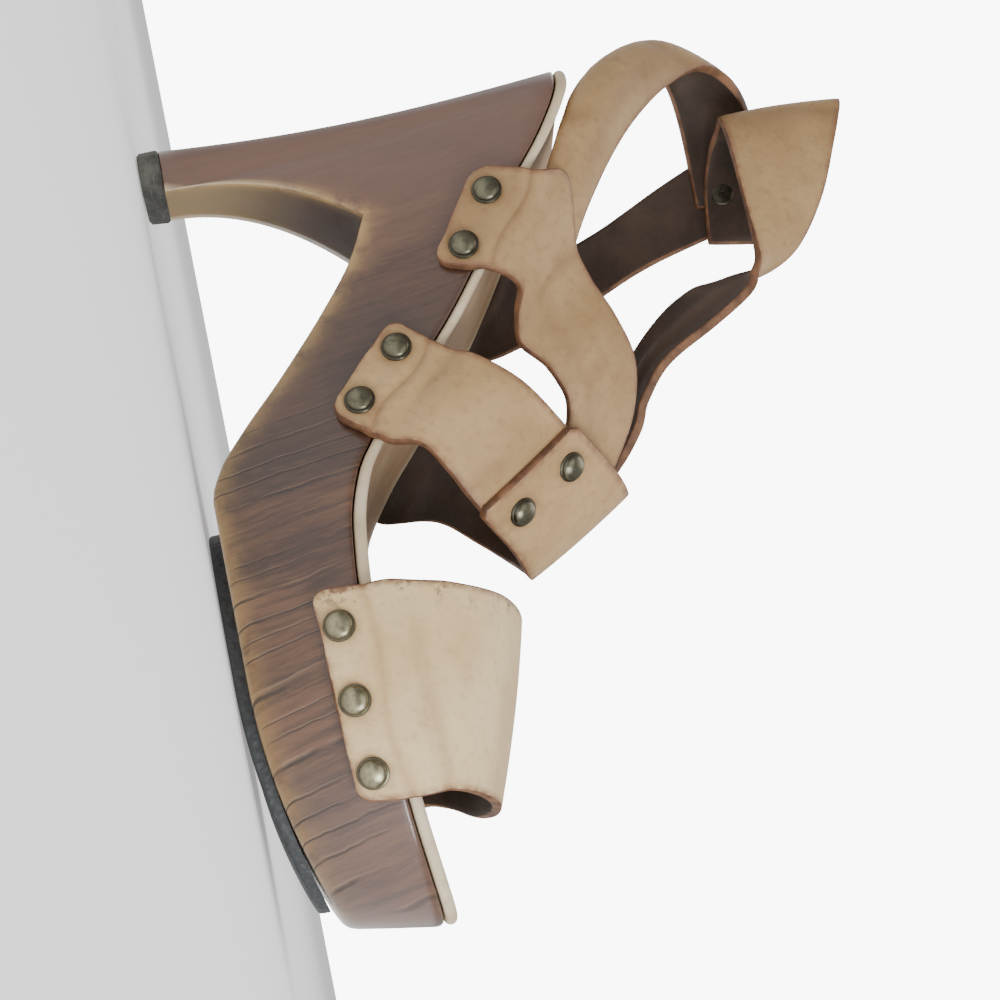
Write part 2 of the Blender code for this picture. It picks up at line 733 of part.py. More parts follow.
def rivet(name, centre, normal, collection):
    """A low dome on a strap's outer face."""
    profile = ((1.0, 0.0), (1.0, 0.22), (0.76, 0.74))
    steps = 11
    normal = np.array(normal) / np.linalg.norm(normal)
    first = np.cross(normal, (0.0, 0.0, 1.0))
    first /= np.linalg.norm(first)
    second = np.cross(normal, first)
    base = np.array(centre) + normal * (GAP + 0.5 * STRAP_THICKNESS)
    loops = []
    for share, rise in profile:
        loop = []
        for i in range(steps):
            turn = 2.0 * math.pi * i / steps
            spoke = first * math.cos(turn) + second * math.sin(turn)
            loop.append(base + spoke * RIVET_RADIUS * share + normal * RIVET_HEIGHT * rise)
        loops.append(loop)
    points, faces = loft(loops, capped=False)
    faces.append(tuple(range(steps)))
    crown = len(points)
    points.append(base + normal * RIVET_HEIGHT)
    last = (len(profile) - 1) * steps
    for i in range(steps):
        faces.append((last + i, last + (i + 1) % steps, crown))
    return make_object(name, points, faces, "brass", collection)


def wall_rivets(collection):
    for name, anchors, drop, lean, places in WALL_RIVETS:
        for side in ("medial", "lateral"):
            begin, end = anchors[side]
            for number, place in enumerate(places, start=1):
                x = begin + (end - begin) * place
                point, normal = wall_frame(x + lean * drop, side, drop)
                seat = point + normal * STRAP_SEAT
                rivet(f"rivet_{name}_{side}_{number}", seat, normal, collection)


def strap_spot(rows, at, share):
    """Point on a strap's middle face, at a place along its rows and a share of its width."""
    count = len(rows[0]) - 1
    line = min(int(share * count), count - 1)
    part = share * count - line
    return strand(rows, line, at) * (1.0 - part) + strand(rows, line + 1, at) * part


def strap_rivets(collection):
    straps = strap_table()
    step = 0.1
    for name, strap, at, face, places in STRAP_RIVETS:
        rows = straps[strap][0]
        for number, share in enumerate(places, start=1):
            run = strap_spot(rows, at + step, share) - strap_spot(rows, at - step, share)
            side = strap_spot(rows, at, share + step) - strap_spot(rows, at, share - step)
            normal = np.cross(run, side) * face
            rivet(f"rivet_{name}_{number}", strap_spot(rows, at, share), normal, collection)


# Assembly

def clear_scene():
    for thing in list(bpy.data.objects):
        bpy.data.objects.remove(thing, do_unlink=True)


def main():
    clear_scene()
    parts = bpy.data.collections.new("platform_sandal")
    cutters = bpy.data.collections.new("strap_pieces")
    bpy.context.scene.collection.children.link(parts)
    bpy.context.scene.collection.children.link(cutters)
    origin = bpy.data.objects.new("floor_point", None)
    origin.location = (-FLOOR_POINT[0] * MM, -FLOOR_POINT[1] * MM, 0.0)
    parts.objects.link(origin)
    sole_block(parts)
    insole(parts)
    forefoot_pad(parts)
    heel_tip(parts)
    toe_strap(parts)
    upper_straps(parts, cutters)
    wall_rivets(parts)
    strap_rivets(parts)


main()
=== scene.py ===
"""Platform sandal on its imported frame: finer pieces, materials, floor, light and camera.

Tables are in millimetres from the back of the heel seat, as in the part's source. The toe points
to +X, the outer (lateral) side to +Y and up is +Z.
"""
import bpy
import bmesh
import math
import numpy as np
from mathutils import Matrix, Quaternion, Vector


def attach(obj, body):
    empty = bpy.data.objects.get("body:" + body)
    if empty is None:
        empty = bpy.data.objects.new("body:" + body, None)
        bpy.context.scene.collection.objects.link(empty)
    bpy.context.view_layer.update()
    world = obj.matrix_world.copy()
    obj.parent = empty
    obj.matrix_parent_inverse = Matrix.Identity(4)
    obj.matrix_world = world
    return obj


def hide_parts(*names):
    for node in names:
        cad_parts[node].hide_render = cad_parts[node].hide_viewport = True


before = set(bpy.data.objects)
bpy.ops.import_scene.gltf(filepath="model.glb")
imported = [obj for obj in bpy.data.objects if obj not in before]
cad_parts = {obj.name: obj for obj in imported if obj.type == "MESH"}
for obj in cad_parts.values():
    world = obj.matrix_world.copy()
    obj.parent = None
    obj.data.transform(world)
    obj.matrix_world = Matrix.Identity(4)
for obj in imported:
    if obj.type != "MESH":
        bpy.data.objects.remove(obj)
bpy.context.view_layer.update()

MM = 0.001

# Driving dimensions
LENGTH = 222.0            # back of the heel seat to the tip of the toe
GAP = 0.3                 # clearance between pieces that meet
PAD_THICKNESS = 3.0       # rubber under the forefoot
TIP_HEIGHT = 5.7          # rubber under the heel
INSOLE_THICKNESS = 3.2
STRAP_THICKNESS = 2.6     # leather and its lining
STRAP_SEAT = 0.6 + 0.5 * STRAP_THICKNESS  # middle of a strap above the wall that it lies on
TOE_SPRING = 11.0         # rise of the underside at the toe
SPRING_START = 158.0      # where the underside leaves the floor
FLOOR_POINT = (136.0, 9.0)  # middle of the forefoot's flat spot
RIVET_RADIUS = 4.0
RIVET_HEIGHT = 2.1

# Heel
HEEL_TOP = 40.0           # length of top edge that the heel carries
HEEL_RIBS = 14
TIP_RIBS = 7              # ribs of the heel that end on the rubber tip
TIP_BACK = 2.0            # back of the tip
TIP_FRONT = 17.0          # flat front of the tip
TIP_HALF_WIDTH = 10.5
TIP_ROUND = 8.0           # depth of the tip's round back
BREAST_TOP = (38.0, 22.0, 56.0)  # corner where heel breast and waist meet: x, half width, z
BACK_HOLLOW = 3.4         # how far the back of the heel curves in
HEEL_TAPER = 1.7          # how late the heel's sides flare out
WAIST_TAPER = 1.15
FRONT_TAPER = 0.9
BREAST_CURVE = 2.2        # how late the breast sweeps forward, and widens
BREAST_FLARE = 1.5

FRONT_RIBS = 27
UNDER_TIP = 217.0         # tip of the underside crease

# Top edge of the sole seen from above
# Columns: x, medial, lateral
TOP_ROWS = (
    (0.0, 0.0, 0.0),
    (4.0, -15.5, 15.5),
    (15.0, -25.5, 25.5),
    (35.0, -28.5, 28.5),
    (55.0, -28.3, 30.5),
    (75.0, -27.5, 35.0),
    (95.0, -29.5, 43.0),
    (115.0, -35.0, 51.8),
    (135.0, -39.5, 57.3),
    (155.0, -41.0, 58.3),
    (175.0, -39.3, 53.8),
    (195.0, -33.0, 42.5),
    (210.0, -22.5, 29.0),
    (218.0, -12.5, 17.0),
    (222.0, 1.5, 1.5),
)

# Crease along the underside, from the heel breast to the toe
# Columns: x, medial, lateral
UNDER_ROWS = (
    (38.0, -22.0, 22.0),
    (55.0, -22.5, 24.8),
    (75.0, -22.3, 30.0),
    (95.0, -24.5, 38.5),
    (115.0, -30.0, 47.8),
    (135.0, -34.5, 53.1),
    (155.0, -36.0, 54.3),
    (175.0, -34.3, 49.8),
    (195.0, -28.0, 38.5),
    (208.0, -17.8, 25.0),
    (214.5, -8.5, 13.2),
    (217.0, 1.5, 1.5),
)

# Heights along the shoe: the foot's side of the insole, and the underside of the wood
# Columns: x, z
FOOTBED_ROWS = (
    (0.0, 120.0),
    (12.0, 116.8),
    (25.0, 109.5),
    (40.0, 98.0),
    (55.0, 88.0),
    (70.0, 76.8),
    (85.0, 63.5),
    (98.0, 51.5),
    (110.0, 43.4),
    (125.0, 39.0),
    (145.0, 37.2),
    (170.0, 37.4),
    (195.0, 39.2),
    (212.0, 41.6),
    (222.0, 43.5),
)
# Columns: x, z
WAIST_ROWS = (
    (38.0, 56.0),
    (50.0, 50.0),
    (63.0, 40.0),
    (78.0, 26.5),
    (92.0, 13.2),
    (101.0, 6.2),
    (109.0, 3.3),
    (220.0, 3.3),
)

# Roundness of the wood's lower and upper edges
# Columns: x, lower radius, upper radius
EDGE_ROWS = (
    (0.0, 0.8, 0.7),
    (38.0, 0.9, 0.7),
    (70.0, 1.8, 0.7),
    (150.0, 2.6, 0.8),
    (195.0, 3.3, 1.2),
    (222.0, 4.0, 2.2),
)

# Rubber pad seen from above
# Columns: x, medial, lateral
PAD_ROWS = (
    (108.5, 21.0, 21.0),
    (110.2, 3.0, 35.5),
    (114.5, -8.5, 42.5),
    (122.0, -17.5, 47.2),
    (135.0, -26.0, 49.4),
    (150.0, -30.0, 48.8),
    (165.0, -30.7, 45.6),
    (180.0, -28.0, 39.2),
    (195.0, -21.5, 30.0),
    (205.5, -13.2, 19.2),
    (210.8, -5.4, 9.6),
    (212.4, 1.5, 1.5),
)

# Free folds of each strap, as its two edges. Heights are above the floor.
# Columns: rear x, rear y, rear z, front x, front y, front z
TOE_ANCHORS = {"medial": (141.0, 192.0), "lateral": (131.0, 185.0)}
TOE_FOLDS = (
    (142.0, -41.8, 47.0, 193.0, -35.0, 46.5),
    (144.0, -39.4, 56.5, 194.5, -31.2, 52.0),
    (147.0, -27.0, 68.5, 196.0, -19.0, 56.5),
    (148.5, 6.0, 75.5, 196.5, 5.5, 59.0),
    (145.0, 39.5, 69.0, 194.5, 30.0, 56.5),
    (138.0, 55.2, 57.0, 190.0, 43.0, 52.0),
    (134.0, 58.9, 47.0, 187.0, 48.4, 46.5),
)
INSTEP_ANCHORS = {"medial": (79.0, 102.0), "lateral": (79.0, 102.0)}
INSTEP_MEDIAL_FOLDS = (
    (86.0, -31.5, 76.0, 107.5, -35.0, 57.0),
    (94.5, -30.0, 86.0, 115.0, -33.5, 62.0),
    (106.0, -23.5, 95.0, 124.0, -26.0, 68.0),
    (115.0, -10.0, 104.5, 131.5, -11.5, 76.0),
    (118.0, 3.0, 109.0, 134.5, 2.5, 80.0),
)
INSTEP_LATERAL_FOLDS = (
    (85.0, 41.5, 83.0, 107.0, 49.0, 64.0),
    (94.0, 40.0, 96.5, 116.0, 46.5, 74.0),
    (105.0, 31.5, 107.0, 126.0, 35.0, 80.5),
    (115.5, 17.0, 112.5, 134.0, 18.0, 82.5),
    (119.0, 2.5, 111.5, 137.0, 2.1, 79.9),
    (115.7, -11.2, 106.8, 133.8, -12.7, 75.9),
    (106.2, -25.2, 97.0, 125.8, -28.0, 67.5),
)
TAB_ANCHORS = {"medial": (36.8, 61.8), "lateral": (40.0, 65.0)}
ANKLE_MEDIAL_FOLDS = (
    (38.5, -24.5, 110.5, 67.5, -27.0, 91.0),
    (56.5, -20.0, 109.5, 75.0, -24.5, 89.0),
    (66.0, -18.0, 111.5, 82.0, -22.5, 88.5),
    (76.5, -15.5, 116.0, 89.0, -20.5, 94.5),
    (88.5, -12.5, 119.0, 98.5, -17.5, 98.0),
    (101.5, -9.0, 116.0, 110.5, -13.5, 94.0),
    (113.5, -3.0, 108.5, 126.1, -5.8, 85.0),
)
HEEL_FOLDS = (
    (58.0, -18.9, 108.0, 66.0, -22.4, 94.0),
    (46.0, -18.2, 115.0, 49.0, -24.2, 99.5),
    (32.0, -16.0, 125.0, 29.5, -22.4, 109.5),
    (20.5, -12.5, 135.0, 15.0, -19.4, 118.3),
    (10.0, -6.5, 148.0, 3.5, -12.0, 129.0),
    (3.0, 1.5, 161.5, -3.5, -1.0, 142.5),
    (5.5, 12.0, 172.5, -0.5, 11.5, 152.0),
    (15.0, 22.0, 178.0, 10.0, 22.8, 156.5),
    (36.0, 26.4, 178.0, 34.0, 27.4, 156.5),
)
TAB_LATERAL_FOLDS = (
    (41.0, 31.5, 108.0, 66.0, 34.0, 91.0),
    (35.0, 30.4, 126.0, 60.0, 32.2, 110.5),
    (25.5, 28.8, 147.0, 50.0, 30.0, 134.5),
    (19.0, 27.4, 163.0, 44.5, 29.2, 154.0),
    (16.0, 26.2, 173.5, 42.0, 28.4, 166.5),
)
TWIST_FOLDS = (
    (46.0, 25.8, 157.0, 50.0, 25.2, 181.0),
    (30.0, 24.4, 159.5, 33.0, 23.6, 186.0),
    (20.5, 20.6, 162.5, 22.5, 19.8, 194.5),
    (15.5, 14.2, 165.0, 17.0, 13.4, 200.0),
    (17.5, 8.0, 164.5, 18.5, 7.5, 200.0),
    (29.0, 4.0, 164.0, 31.0, 4.5, 194.0),
    (45.0, 2.0, 163.5, 46.0, 5.0, 186.5),
    (57.0, 0.5, 163.0, 58.0, 6.5, 177.0),
    (64.5, -0.5, 161.5, 63.0, 8.0, 167.0),
    (71.5, -1.0, 157.5, 63.5, 10.5, 155.0),
    (79.0, -0.5, 146.0, 66.5, 13.0, 140.5),
    (87.0, 0.0, 130.5, 79.0, 17.0, 125.0),
    (95.5, 3.0, 123.0, 94.0, 20.0, 114.5),
    (103.0, 6.0, 119.5, 109.0, 20.0, 107.0),
    (117.0, 10.5, 107.5, 130.6, 12.9, 84.9),
)
ANCHOR_DROPS = (15.5, 9.0, 2.5, -1.0, -7.0)  # rows of an anchored end, below the wood's top edge
TOE_DROPS = (10.5, 6.0, 1.5, -1.5, -7.0)
REAR_DROPS = (11.5, 6.0, 0.5, -6.0)
TAB_LEAN = -0.5                   # how far back a tab leans for each millimetre down
REAR_LEAN = -0.23
HEEL_CENTRE = (30.0, 3.0, 0.0)    # middle of the heel loop seen from above
HEEL_CUP = 5.0                    # how far the heel loop cups out at its middle
RIM_INSET = 0.5                   # how far a strap's faces stop short of its rim
CORNER_FULLNESS = 0.85            # share of a full round that a strap's corner takes
TAB_CORNER = 5.0
FLAP_CORNER = 2.0
TOE_CORNER = 3.0

# Straps of the upper. Some start from a tab on the wall, and the others hang between straps.
TABS = {
    "instep": (INSTEP_ANCHORS, ANCHOR_DROPS, TAB_LEAN),
    "rear": (TAB_ANCHORS, REAR_DROPS, REAR_LEAN),
}
# Columns: strap, tab, side, folds, corners of both ends
UPPER_STRAPS = (
    ("instep_medial", "instep", "medial", INSTEP_MEDIAL_FOLDS, (TAB_CORNER, 0.0)),
    ("instep_lateral", "instep", "lateral", INSTEP_LATERAL_FOLDS, (TAB_CORNER, FLAP_CORNER)),
    ("ankle_medial", "rear", "medial", ANKLE_MEDIAL_FOLDS, (TAB_CORNER, 0.0)),
    ("heel_loop", None, None, HEEL_FOLDS, (0.0, 0.0)),
    ("tab_lateral", "rear", "lateral", TAB_LATERAL_FOLDS, (TAB_CORNER, 0.0)),
    ("ankle_lateral", None, None, TWIST_FOLDS, (0.0, 0.0)),
)

# Rivets on the wall: their places between a strap's two edges, and how far down they lie
# Columns: name, anchors, drop, lean, places, medial strap, lateral strap
WALL_RIVETS = (
    ("toe", TOE_ANCHORS, 6.0, 0.0, (0.19, 0.54, 0.87), "toe_strap", "toe_strap"),
    ("instep", INSTEP_ANCHORS, 8.0, TAB_LEAN, (0.22, 0.78), "instep_medial", "instep_lateral"),
    ("rear", TAB_ANCHORS, 4.6, REAR_LEAN, (0.25, 0.8), "ankle_medial", "tab_lateral"),
)

# Rivets where straps join: the strap, the row they lie on, the side they face and their places
# Columns: name, strap, row, face, places
STRAP_RIVETS = (
    ("joint", "instep_lateral", 10.55, 1.0, (0.25, 0.75)),
    ("heel_lateral", "tab_lateral", 7.55, 1.0, (0.18, 0.6)),
)


# Curves through table rows

def column(rows, index):
    return np.array([row[index] for row in rows])


def smooth(places, values, at):
    """A smooth curve through the rows that never overshoots them."""
    steps = np.diff(places)
    slopes = np.diff(values) / steps
    tangents = np.zeros(len(values))
    tangents[0], tangents[-1] = slopes[0], slopes[-1]
    for i in range(1, len(values) - 1):
        before, after = slopes[i - 1], slopes[i]
        if before * after > 0.0:
            tangents[i] = 2.0 * before * after / (before + after)
    at = min(max(at, places[0]), places[-1])
    i = min(int(np.searchsorted(places, at, side="right")) - 1, len(steps) - 1)
    i = max(i, 0)
    t = (at - places[i]) / steps[i]
    low = values[i] * (1 + 2 * t) + tangents[i] * steps[i] * t
    high = values[i + 1] * (3 - 2 * t) + tangents[i + 1] * steps[i] * (t - 1)
    return low * (1 - t) ** 2 + high * t ** 2


def along_table(rows, x, index=1):
    return smooth(column(rows, 0), column(rows, index), x)


def distance(first, second):
    return float(np.linalg.norm(first - second))


def unit(vector):
    return vector / np.linalg.norm(vector)


def round_ends(rows, x):
    """Turn a place along an outline into an angle, so that both ends come out round."""
    first, last = rows[0][0], rows[-1][0]
    share = min(max((x - first) / (last - first), 0.0), 1.0)
    return math.acos(1.0 - 2.0 * share)


def outline_y(rows, x, side):
    angles = np.array([round_ends(rows, row[0]) for row in rows])
    values = column(rows, 1 if side == "medial" else 2)
    return smooth(angles, values, round_ends(rows, x))


def footbed_z(x):
    return along_table(FOOTBED_ROWS, x)


def wood_top_z(x):
    return footbed_z(x) - INSOLE_THICKNESS - GAP


def spring_z(x):
    """Rise of the forefoot's underside towards the toe."""
    share = max(x - SPRING_START, 0.0) / (UNDER_TIP - SPRING_START)
    return TOE_SPRING * share ** 2


def under_y(x, side):
    """Underside crease: open at the heel breast, round at the toe."""
    angles = np.array([math.asin(min(row[0] / UNDER_TIP, 1.0)) for row in UNDER_ROWS])
    values = column(UNDER_ROWS, 1 if side == "medial" else 2)
    return smooth(angles, values, math.asin(min(x / UNDER_TIP, 1.0)))


def under_z(x):
    return along_table(WAIST_ROWS, x) + spring_z(x)


# The wooden sole's side wall

def heel_foot(rib, side):
    """Lower end of a heel rib: round the tip first, then up the side of the breast."""
    sign = -1.0 if side == "medial" else 1.0
    tip_z = TIP_HEIGHT + GAP
    if rib < TIP_RIBS - 1:
        turn = 0.5 * math.pi * rib / (TIP_RIBS - 1)
        x = TIP_BACK + TIP_ROUND * (1.0 - math.cos(turn))
        return np.array([x, sign * TIP_HALF_WIDTH * math.sin(turn), tip_z])
    if rib < TIP_RIBS:
        share = rib - (TIP_RIBS - 1)
        straight = TIP_FRONT - TIP_BACK - TIP_ROUND
        x = TIP_BACK + TIP_ROUND + straight * share
        return np.array([x, sign * TIP_HALF_WIDTH, tip_z])
    rise = (rib - TIP_RIBS) / (HEEL_RIBS - TIP_RIBS)
    x = TIP_FRONT + (BREAST_TOP[0] - TIP_FRONT) * rise ** BREAST_CURVE
    y = TIP_HALF_WIDTH + (BREAST_TOP[1] - TIP_HALF_WIDTH) * rise ** BREAST_FLARE
    z = tip_z + (BREAST_TOP[2] - tip_z) * rise
    return np.array([x, sign * y, z])


def wall_ends(x, side):
    """Upper and lower end of the wall at a place along the top edge, and its taper and hollow."""
    top = np.array([x, outline_y(TOP_ROWS, x, side), wood_top_z(x)])
    if x <= HEEL_TOP:
        rib = HEEL_RIBS * math.acos(1.0 - x / HEEL_TOP) / (0.5 * math.pi)
        forward = min(rib / HEEL_RIBS, 1.0)
        taper = HEEL_TAPER + (WAIST_TAPER - HEEL_TAPER) * forward ** 2
        hollow = BACK_HOLLOW * max(1.0 - rib / TIP_RIBS, 0.0)
        return top, heel_foot(rib, side), taper, hollow
    share = (x - HEEL_TOP) / (LENGTH - HEEL_TOP)
    under_x = BREAST_TOP[0] + (UNDER_TIP - BREAST_TOP[0]) * share
    foot = np.array([under_x, under_y(under_x, side), under_z(under_x)])
    taper = WAIST_TAPER + (FRONT_TAPER - WAIST_TAPER) * min(share * 3.0, 1.0)
    return top, foot, taper, 0.0


def wall_point(x, side, down):
    """Point on the wall, from 0 at the top edge to 1 at the lower edge."""
    top, foot, taper, hollow = wall_ends(x, side)
    left = max(1.0 - down, 0.0) ** taper
    point = foot + (top - foot) * left
    point[2] = top[2] + (foot[2] - top[2]) * down
    point[0] += hollow * math.sin(math.pi * down)
    return point


def wall_frame(x, side, drop):
    """Point and outward normal of the wall, a number of millimetres below the top edge.

    Above the edge, where the drop is negative, the wall goes on straight up.
    """
    top, foot = wall_ends(x, side)[:2]
    down = max(drop, 0.0) / distance(top, foot)
    step = 0.02
    point = wall_point(x, side, down)
    along = wall_point(x + 0.5, side, down) - wall_point(x - 0.5, side, down)
    fall = wall_point(x, side, down + step) - wall_point(x, side, max(down - step, 0.0))
    normal = unit(np.cross(along, fall))
    if normal[1] * (-1.0 if side == "medial" else 1.0) < 0.0:
        normal = -normal
    if drop < 0.0:
        point[2] -= drop
        normal[2] = 0.0
        normal = unit(normal)
    return point, normal


# Finer steps than the solids have
FINE = 3                  # ribs of the sole for each rib of the solid
FINE_SIDE = 18
FINE_ACROSS = 12
FINE_PAD = 84
FINE_TIP = 48
FINE_TIP_FRONT = 12
FINE_RIM = 10
FINE_STRAP = 10           # sections for each table row
FINE_STRAP_ACROSS = 14
FINE_TOE_ACROSS = 24
FINE_RIVET = 36
FINE_DOME = 9
UPPER_BEND = 3            # steps round the wood's upper edge
LOWER_BEND = 5            # steps round its lower edge

# Small forms of sole, insole and rubber
DISH = 1.1                # hollow of the insole under the foot
DISH_WIDTH = 40.0         # width from which the hollow is full
RIM_SETBACK = 0.15        # how far the insole's edge stands back from the wood
SEAM = 0.27               # how far glued rubber fills its clearance to the wood
WALL_WEAR = 3.4           # how far up the wall the lower edge is worn
UNDER_WEAR = 1.5          # how far in from the edge the underside is worn
PAD_WEAR = 2.0            # how far out from the pad it is worn
FOREFOOT_TOP = 20.0       # height below which the underside belongs to the forefoot
PALE_LINE = 0.7           # width of the pale line along the heel breast
# Columns: inset, rise, grey
PAD_PROFILE = ((0.0, PAD_THICKNESS + SEAM, 1.0), (0.0, 1.9, 1.0), (0.05, 0.9, 1.0), (0.3, 0.3, 0.8),
               (0.9, 0.0, 0.4), (2.2, 0.0, 0.0))
# Columns: z, how far it stands proud of the heel
TIP_LEVELS = ((0.0, -7.0), (0.0, -1.0), (0.15, -0.45), (0.9, 0.2), (TIP_HEIGHT - 0.6, 0.4),
              (TIP_HEIGHT - 0.15, 0.25), (TIP_HEIGHT + SEAM, 0.0), (TIP_HEIGHT + SEAM, -7.0))

# Which way a strap's grain side faces, against the normal of its grid
GRAIN_SIDE = {
    "toe_strap": -1.0,
    "instep_medial": -1.0,
    "ankle_medial": -1.0,
    "instep_lateral": 1.0,
    "heel_loop": 1.0,
    "tab_lateral": 1.0,
    "ankle_lateral": 1.0,
}

# Straps that aren't of the tan leather darkened as painted shade
GRAIN_LOOK = {"toe_strap": "pale", "instep_medial": "tan", "instep_lateral": "tan"}

# Section of a strap's rim: height as a share of half the thickness, and inset in millimetres
RIM_PROFILE = ((0.9, 0.16), (0.6, 0.03), (0.0, 0.0), (-0.6, 0.03), (-0.9, 0.16))
END_PROFILE = ((0.8, 0.3), (0.45, 0.5), (0.0, 0.6))

# Creases set across a strap: row, depth, width and the shares of the width they run over
# Columns: strap, row, depth, width, from, to
CREASES = (
    ("toe_strap", 2.9, 0.40, 1.5, -0.2, 1.2),
    ("toe_strap", 4.7, 0.28, 3.2, 0.05, 1.2),
    ("toe_strap", 13.2, 0.40, 1.5, -0.2, 1.2),
    ("instep_medial", 2.75, 0.60, 1.3, -0.2, 1.2),
    ("instep_medial", 4.3, 0.30, 2.2, -0.2, 0.6),
    ("instep_medial", 6.6, 0.30, 2.6, 0.4, 1.2),
    ("instep_lateral", 2.75, 0.60, 1.3, -0.2, 1.2),
    ("instep_lateral", 4.4, 0.30, 2.2, 0.3, 1.2),
    ("instep_lateral", 6.4, 0.28, 2.6, -0.2, 0.6),
    ("ankle_medial", 2.9, 0.65, 1.2, -0.2, 1.2),
    ("ankle_medial", 5.0, 0.35, 2.2, -0.2, 0.8),
    ("ankle_medial", 7.6, 0.25, 2.6, 0.3, 1.2),
    ("heel_loop", 2.6, 0.30, 2.6, 0.3, 1.2),
    ("heel_loop", 4.6, 0.30, 2.6, -0.2, 0.7),
    ("tab_lateral", 2.7, 0.55, 1.3, -0.2, 1.2),
    ("ankle_lateral", 2.6, 0.35, 2.2, -0.2, 0.7),
    ("ankle_lateral", 4.2, 0.35, 2.2, 0.3, 1.2),
    ("ankle_lateral", 8.4, 0.45, 2.4, -0.2, 0.8),
    ("ankle_lateral", 9.6, 0.35, 2.4, 0.3, 1.2),
)

RIDGE_PLACE = 2.2         # ridges beside a crease, in widths of the crease
RIDGE_SHARE = 0.25        # their height as a share of its depth
MARKED_DEPTH = 0.5        # depth from which a crease gets its full painted shade, and on the lining its full painted highlight

# Creases set along a strap: share of the width, depth, width and the rows they run over
# Columns: strap, share, depth, width, from, to
FOLD_LINES = (
    ("ankle_lateral", 0.52, 0.90, 2.0, 8.6, 12.8),
    ("heel_loop", 0.30, 0.30, 2.2, 1.2, 4.6),
    ("ankle_medial", 0.66, 0.30, 2.4, 5.2, 9.0),
)

# Soft forms of a strap
DENT_DEPTH = 0.30         # dent round a rivet
DENT_WIDTH = 1.6
RIVET_SHADE_AND_PATINA_WIDTH = 1.1         # dark ring round a rivet: painted shade, partly patina
CROWN = 0.7               # how far the middle of a free strap stands up
RIPPLE = 0.22             # wave of a free strap's edges
RIPPLE_LENGTH = 7.0
BURNISH = 0.7             # how far in from its rim a strap is dark


# Materials
RING_SPACING = 0.0056     # usual distance of the wood's cracks


class Look:
    """A material and short ways to add nodes to it."""

    def __init__(self, name):
        self.made = bpy.data.materials.new(name)
        self.made.use_nodes = True
        self.tree = self.made.node_tree
        self.shader = self.tree.nodes["Principled BSDF"]
        self.place = self.add("ShaderNodeTexCoord").outputs["Object"]

    def add(self, kind, inputs=None, **settings):
        node = self.tree.nodes.new(kind)
        for key, value in settings.items():
            setattr(node, key, value)
        for key, value in (inputs or {}).items():
            self.feed(node.inputs[key], value)
        return node

    def feed(self, socket, value):
        if isinstance(value, bpy.types.NodeSocket):
            self.tree.links.new(value, socket)
        else:
            socket.default_value = value

    def mark(self, name):
        return self.add("ShaderNodeAttribute", attribute_name=name).outputs["Fac"]

    def math(self, operation, first, second=0.5, clamp=False):
        sockets = {0: first, 1: second}
        return self.add("ShaderNodeMath", sockets, operation=operation, use_clamp=clamp).outputs[0]

    def times(self, first, second, clamp=False):
        return self.math("MULTIPLY", first, second, clamp)

    def plus(self, first, second):
        return self.math("ADD", first, second)

    def minus(self, first, second):
        return self.math("SUBTRACT", first, second)

    def size_of(self, value):
        return self.math("ABSOLUTE", value)

    def stretched(self, scales):
        return self.add("ShaderNodeMapping", {"Vector": self.place, "Scale": scales}).outputs["Vector"]

    def noise(self, scale, detail=3.0, rough=0.55, vector=None):
        sockets = {"Vector": vector or self.place, "Scale": scale, "Detail": detail, "Roughness": rough}
        return self.add("ShaderNodeTexNoise", sockets).outputs["Fac"]

    def line_noise(self, place, scale, detail=0.0):
        sockets = {"W": place, "Scale": scale, "Detail": detail}
        return self.add("ShaderNodeTexNoise", sockets, noise_dimensions="1D").outputs["Fac"]

    def cells(self, scale, feature="F1"):
        sockets = {"Vector": self.place, "Scale": scale}
        return self.add("ShaderNodeTexVoronoi", sockets, feature=feature).outputs["Distance"]

    def band(self, value, low, high, start=0.0, end=1.0):
        """A soft step of a value, from a start to an end."""
        sockets = {"Value": value, "From Min": low, "From Max": high, "To Min": start, "To Max": end}
        return self.add("ShaderNodeMapRange", sockets, interpolation_type="SMOOTHSTEP").outputs["Result"]

    def mix(self, share, first, second, blend="MIX"):
        node = self.add("ShaderNodeMix", data_type="RGBA", blend_type=blend)
        self.feed(node.inputs["Factor"], share)
        colours = [socket for socket in node.inputs if socket.type == "RGBA"]
        for socket, value in zip(colours, (first, second)):
            self.feed(socket, value if isinstance(value, bpy.types.NodeSocket) else (*value, 1.0))
        return [socket for socket in node.outputs if socket.type == "RGBA"][0]

    def layers(self, colour, *over):
        """Colours laid over another, each with its share."""
        for share, top in over:
            colour = self.mix(share, colour, top)
        return colour

    def patches(self, scale, detail, first, second):
        """Two colours in soft patches."""
        return self.mix(self.band(self.noise(scale, detail), 0.3, 0.7), first, second)

    def dull(self, scale, detail, spread, least):
        """Uneven roughness."""
        return self.plus(self.times(self.noise(scale, detail), spread), least)

    def bump(self, height, strength, distance):
        sockets = {"Strength": strength, "Distance": distance, "Height": height}
        self.feed(self.shader.inputs["Normal"], self.add("ShaderNodeBump", sockets).outputs["Normal"])

    def finish(self, colour, roughness, **constants):
        self.feed(self.shader.inputs["Base Color"], colour)
        self.feed(self.shader.inputs["Roughness"], roughness)
        for key, value in constants.items():
            self.shader.inputs[key.replace("_", " ")].default_value = value
        return self.made


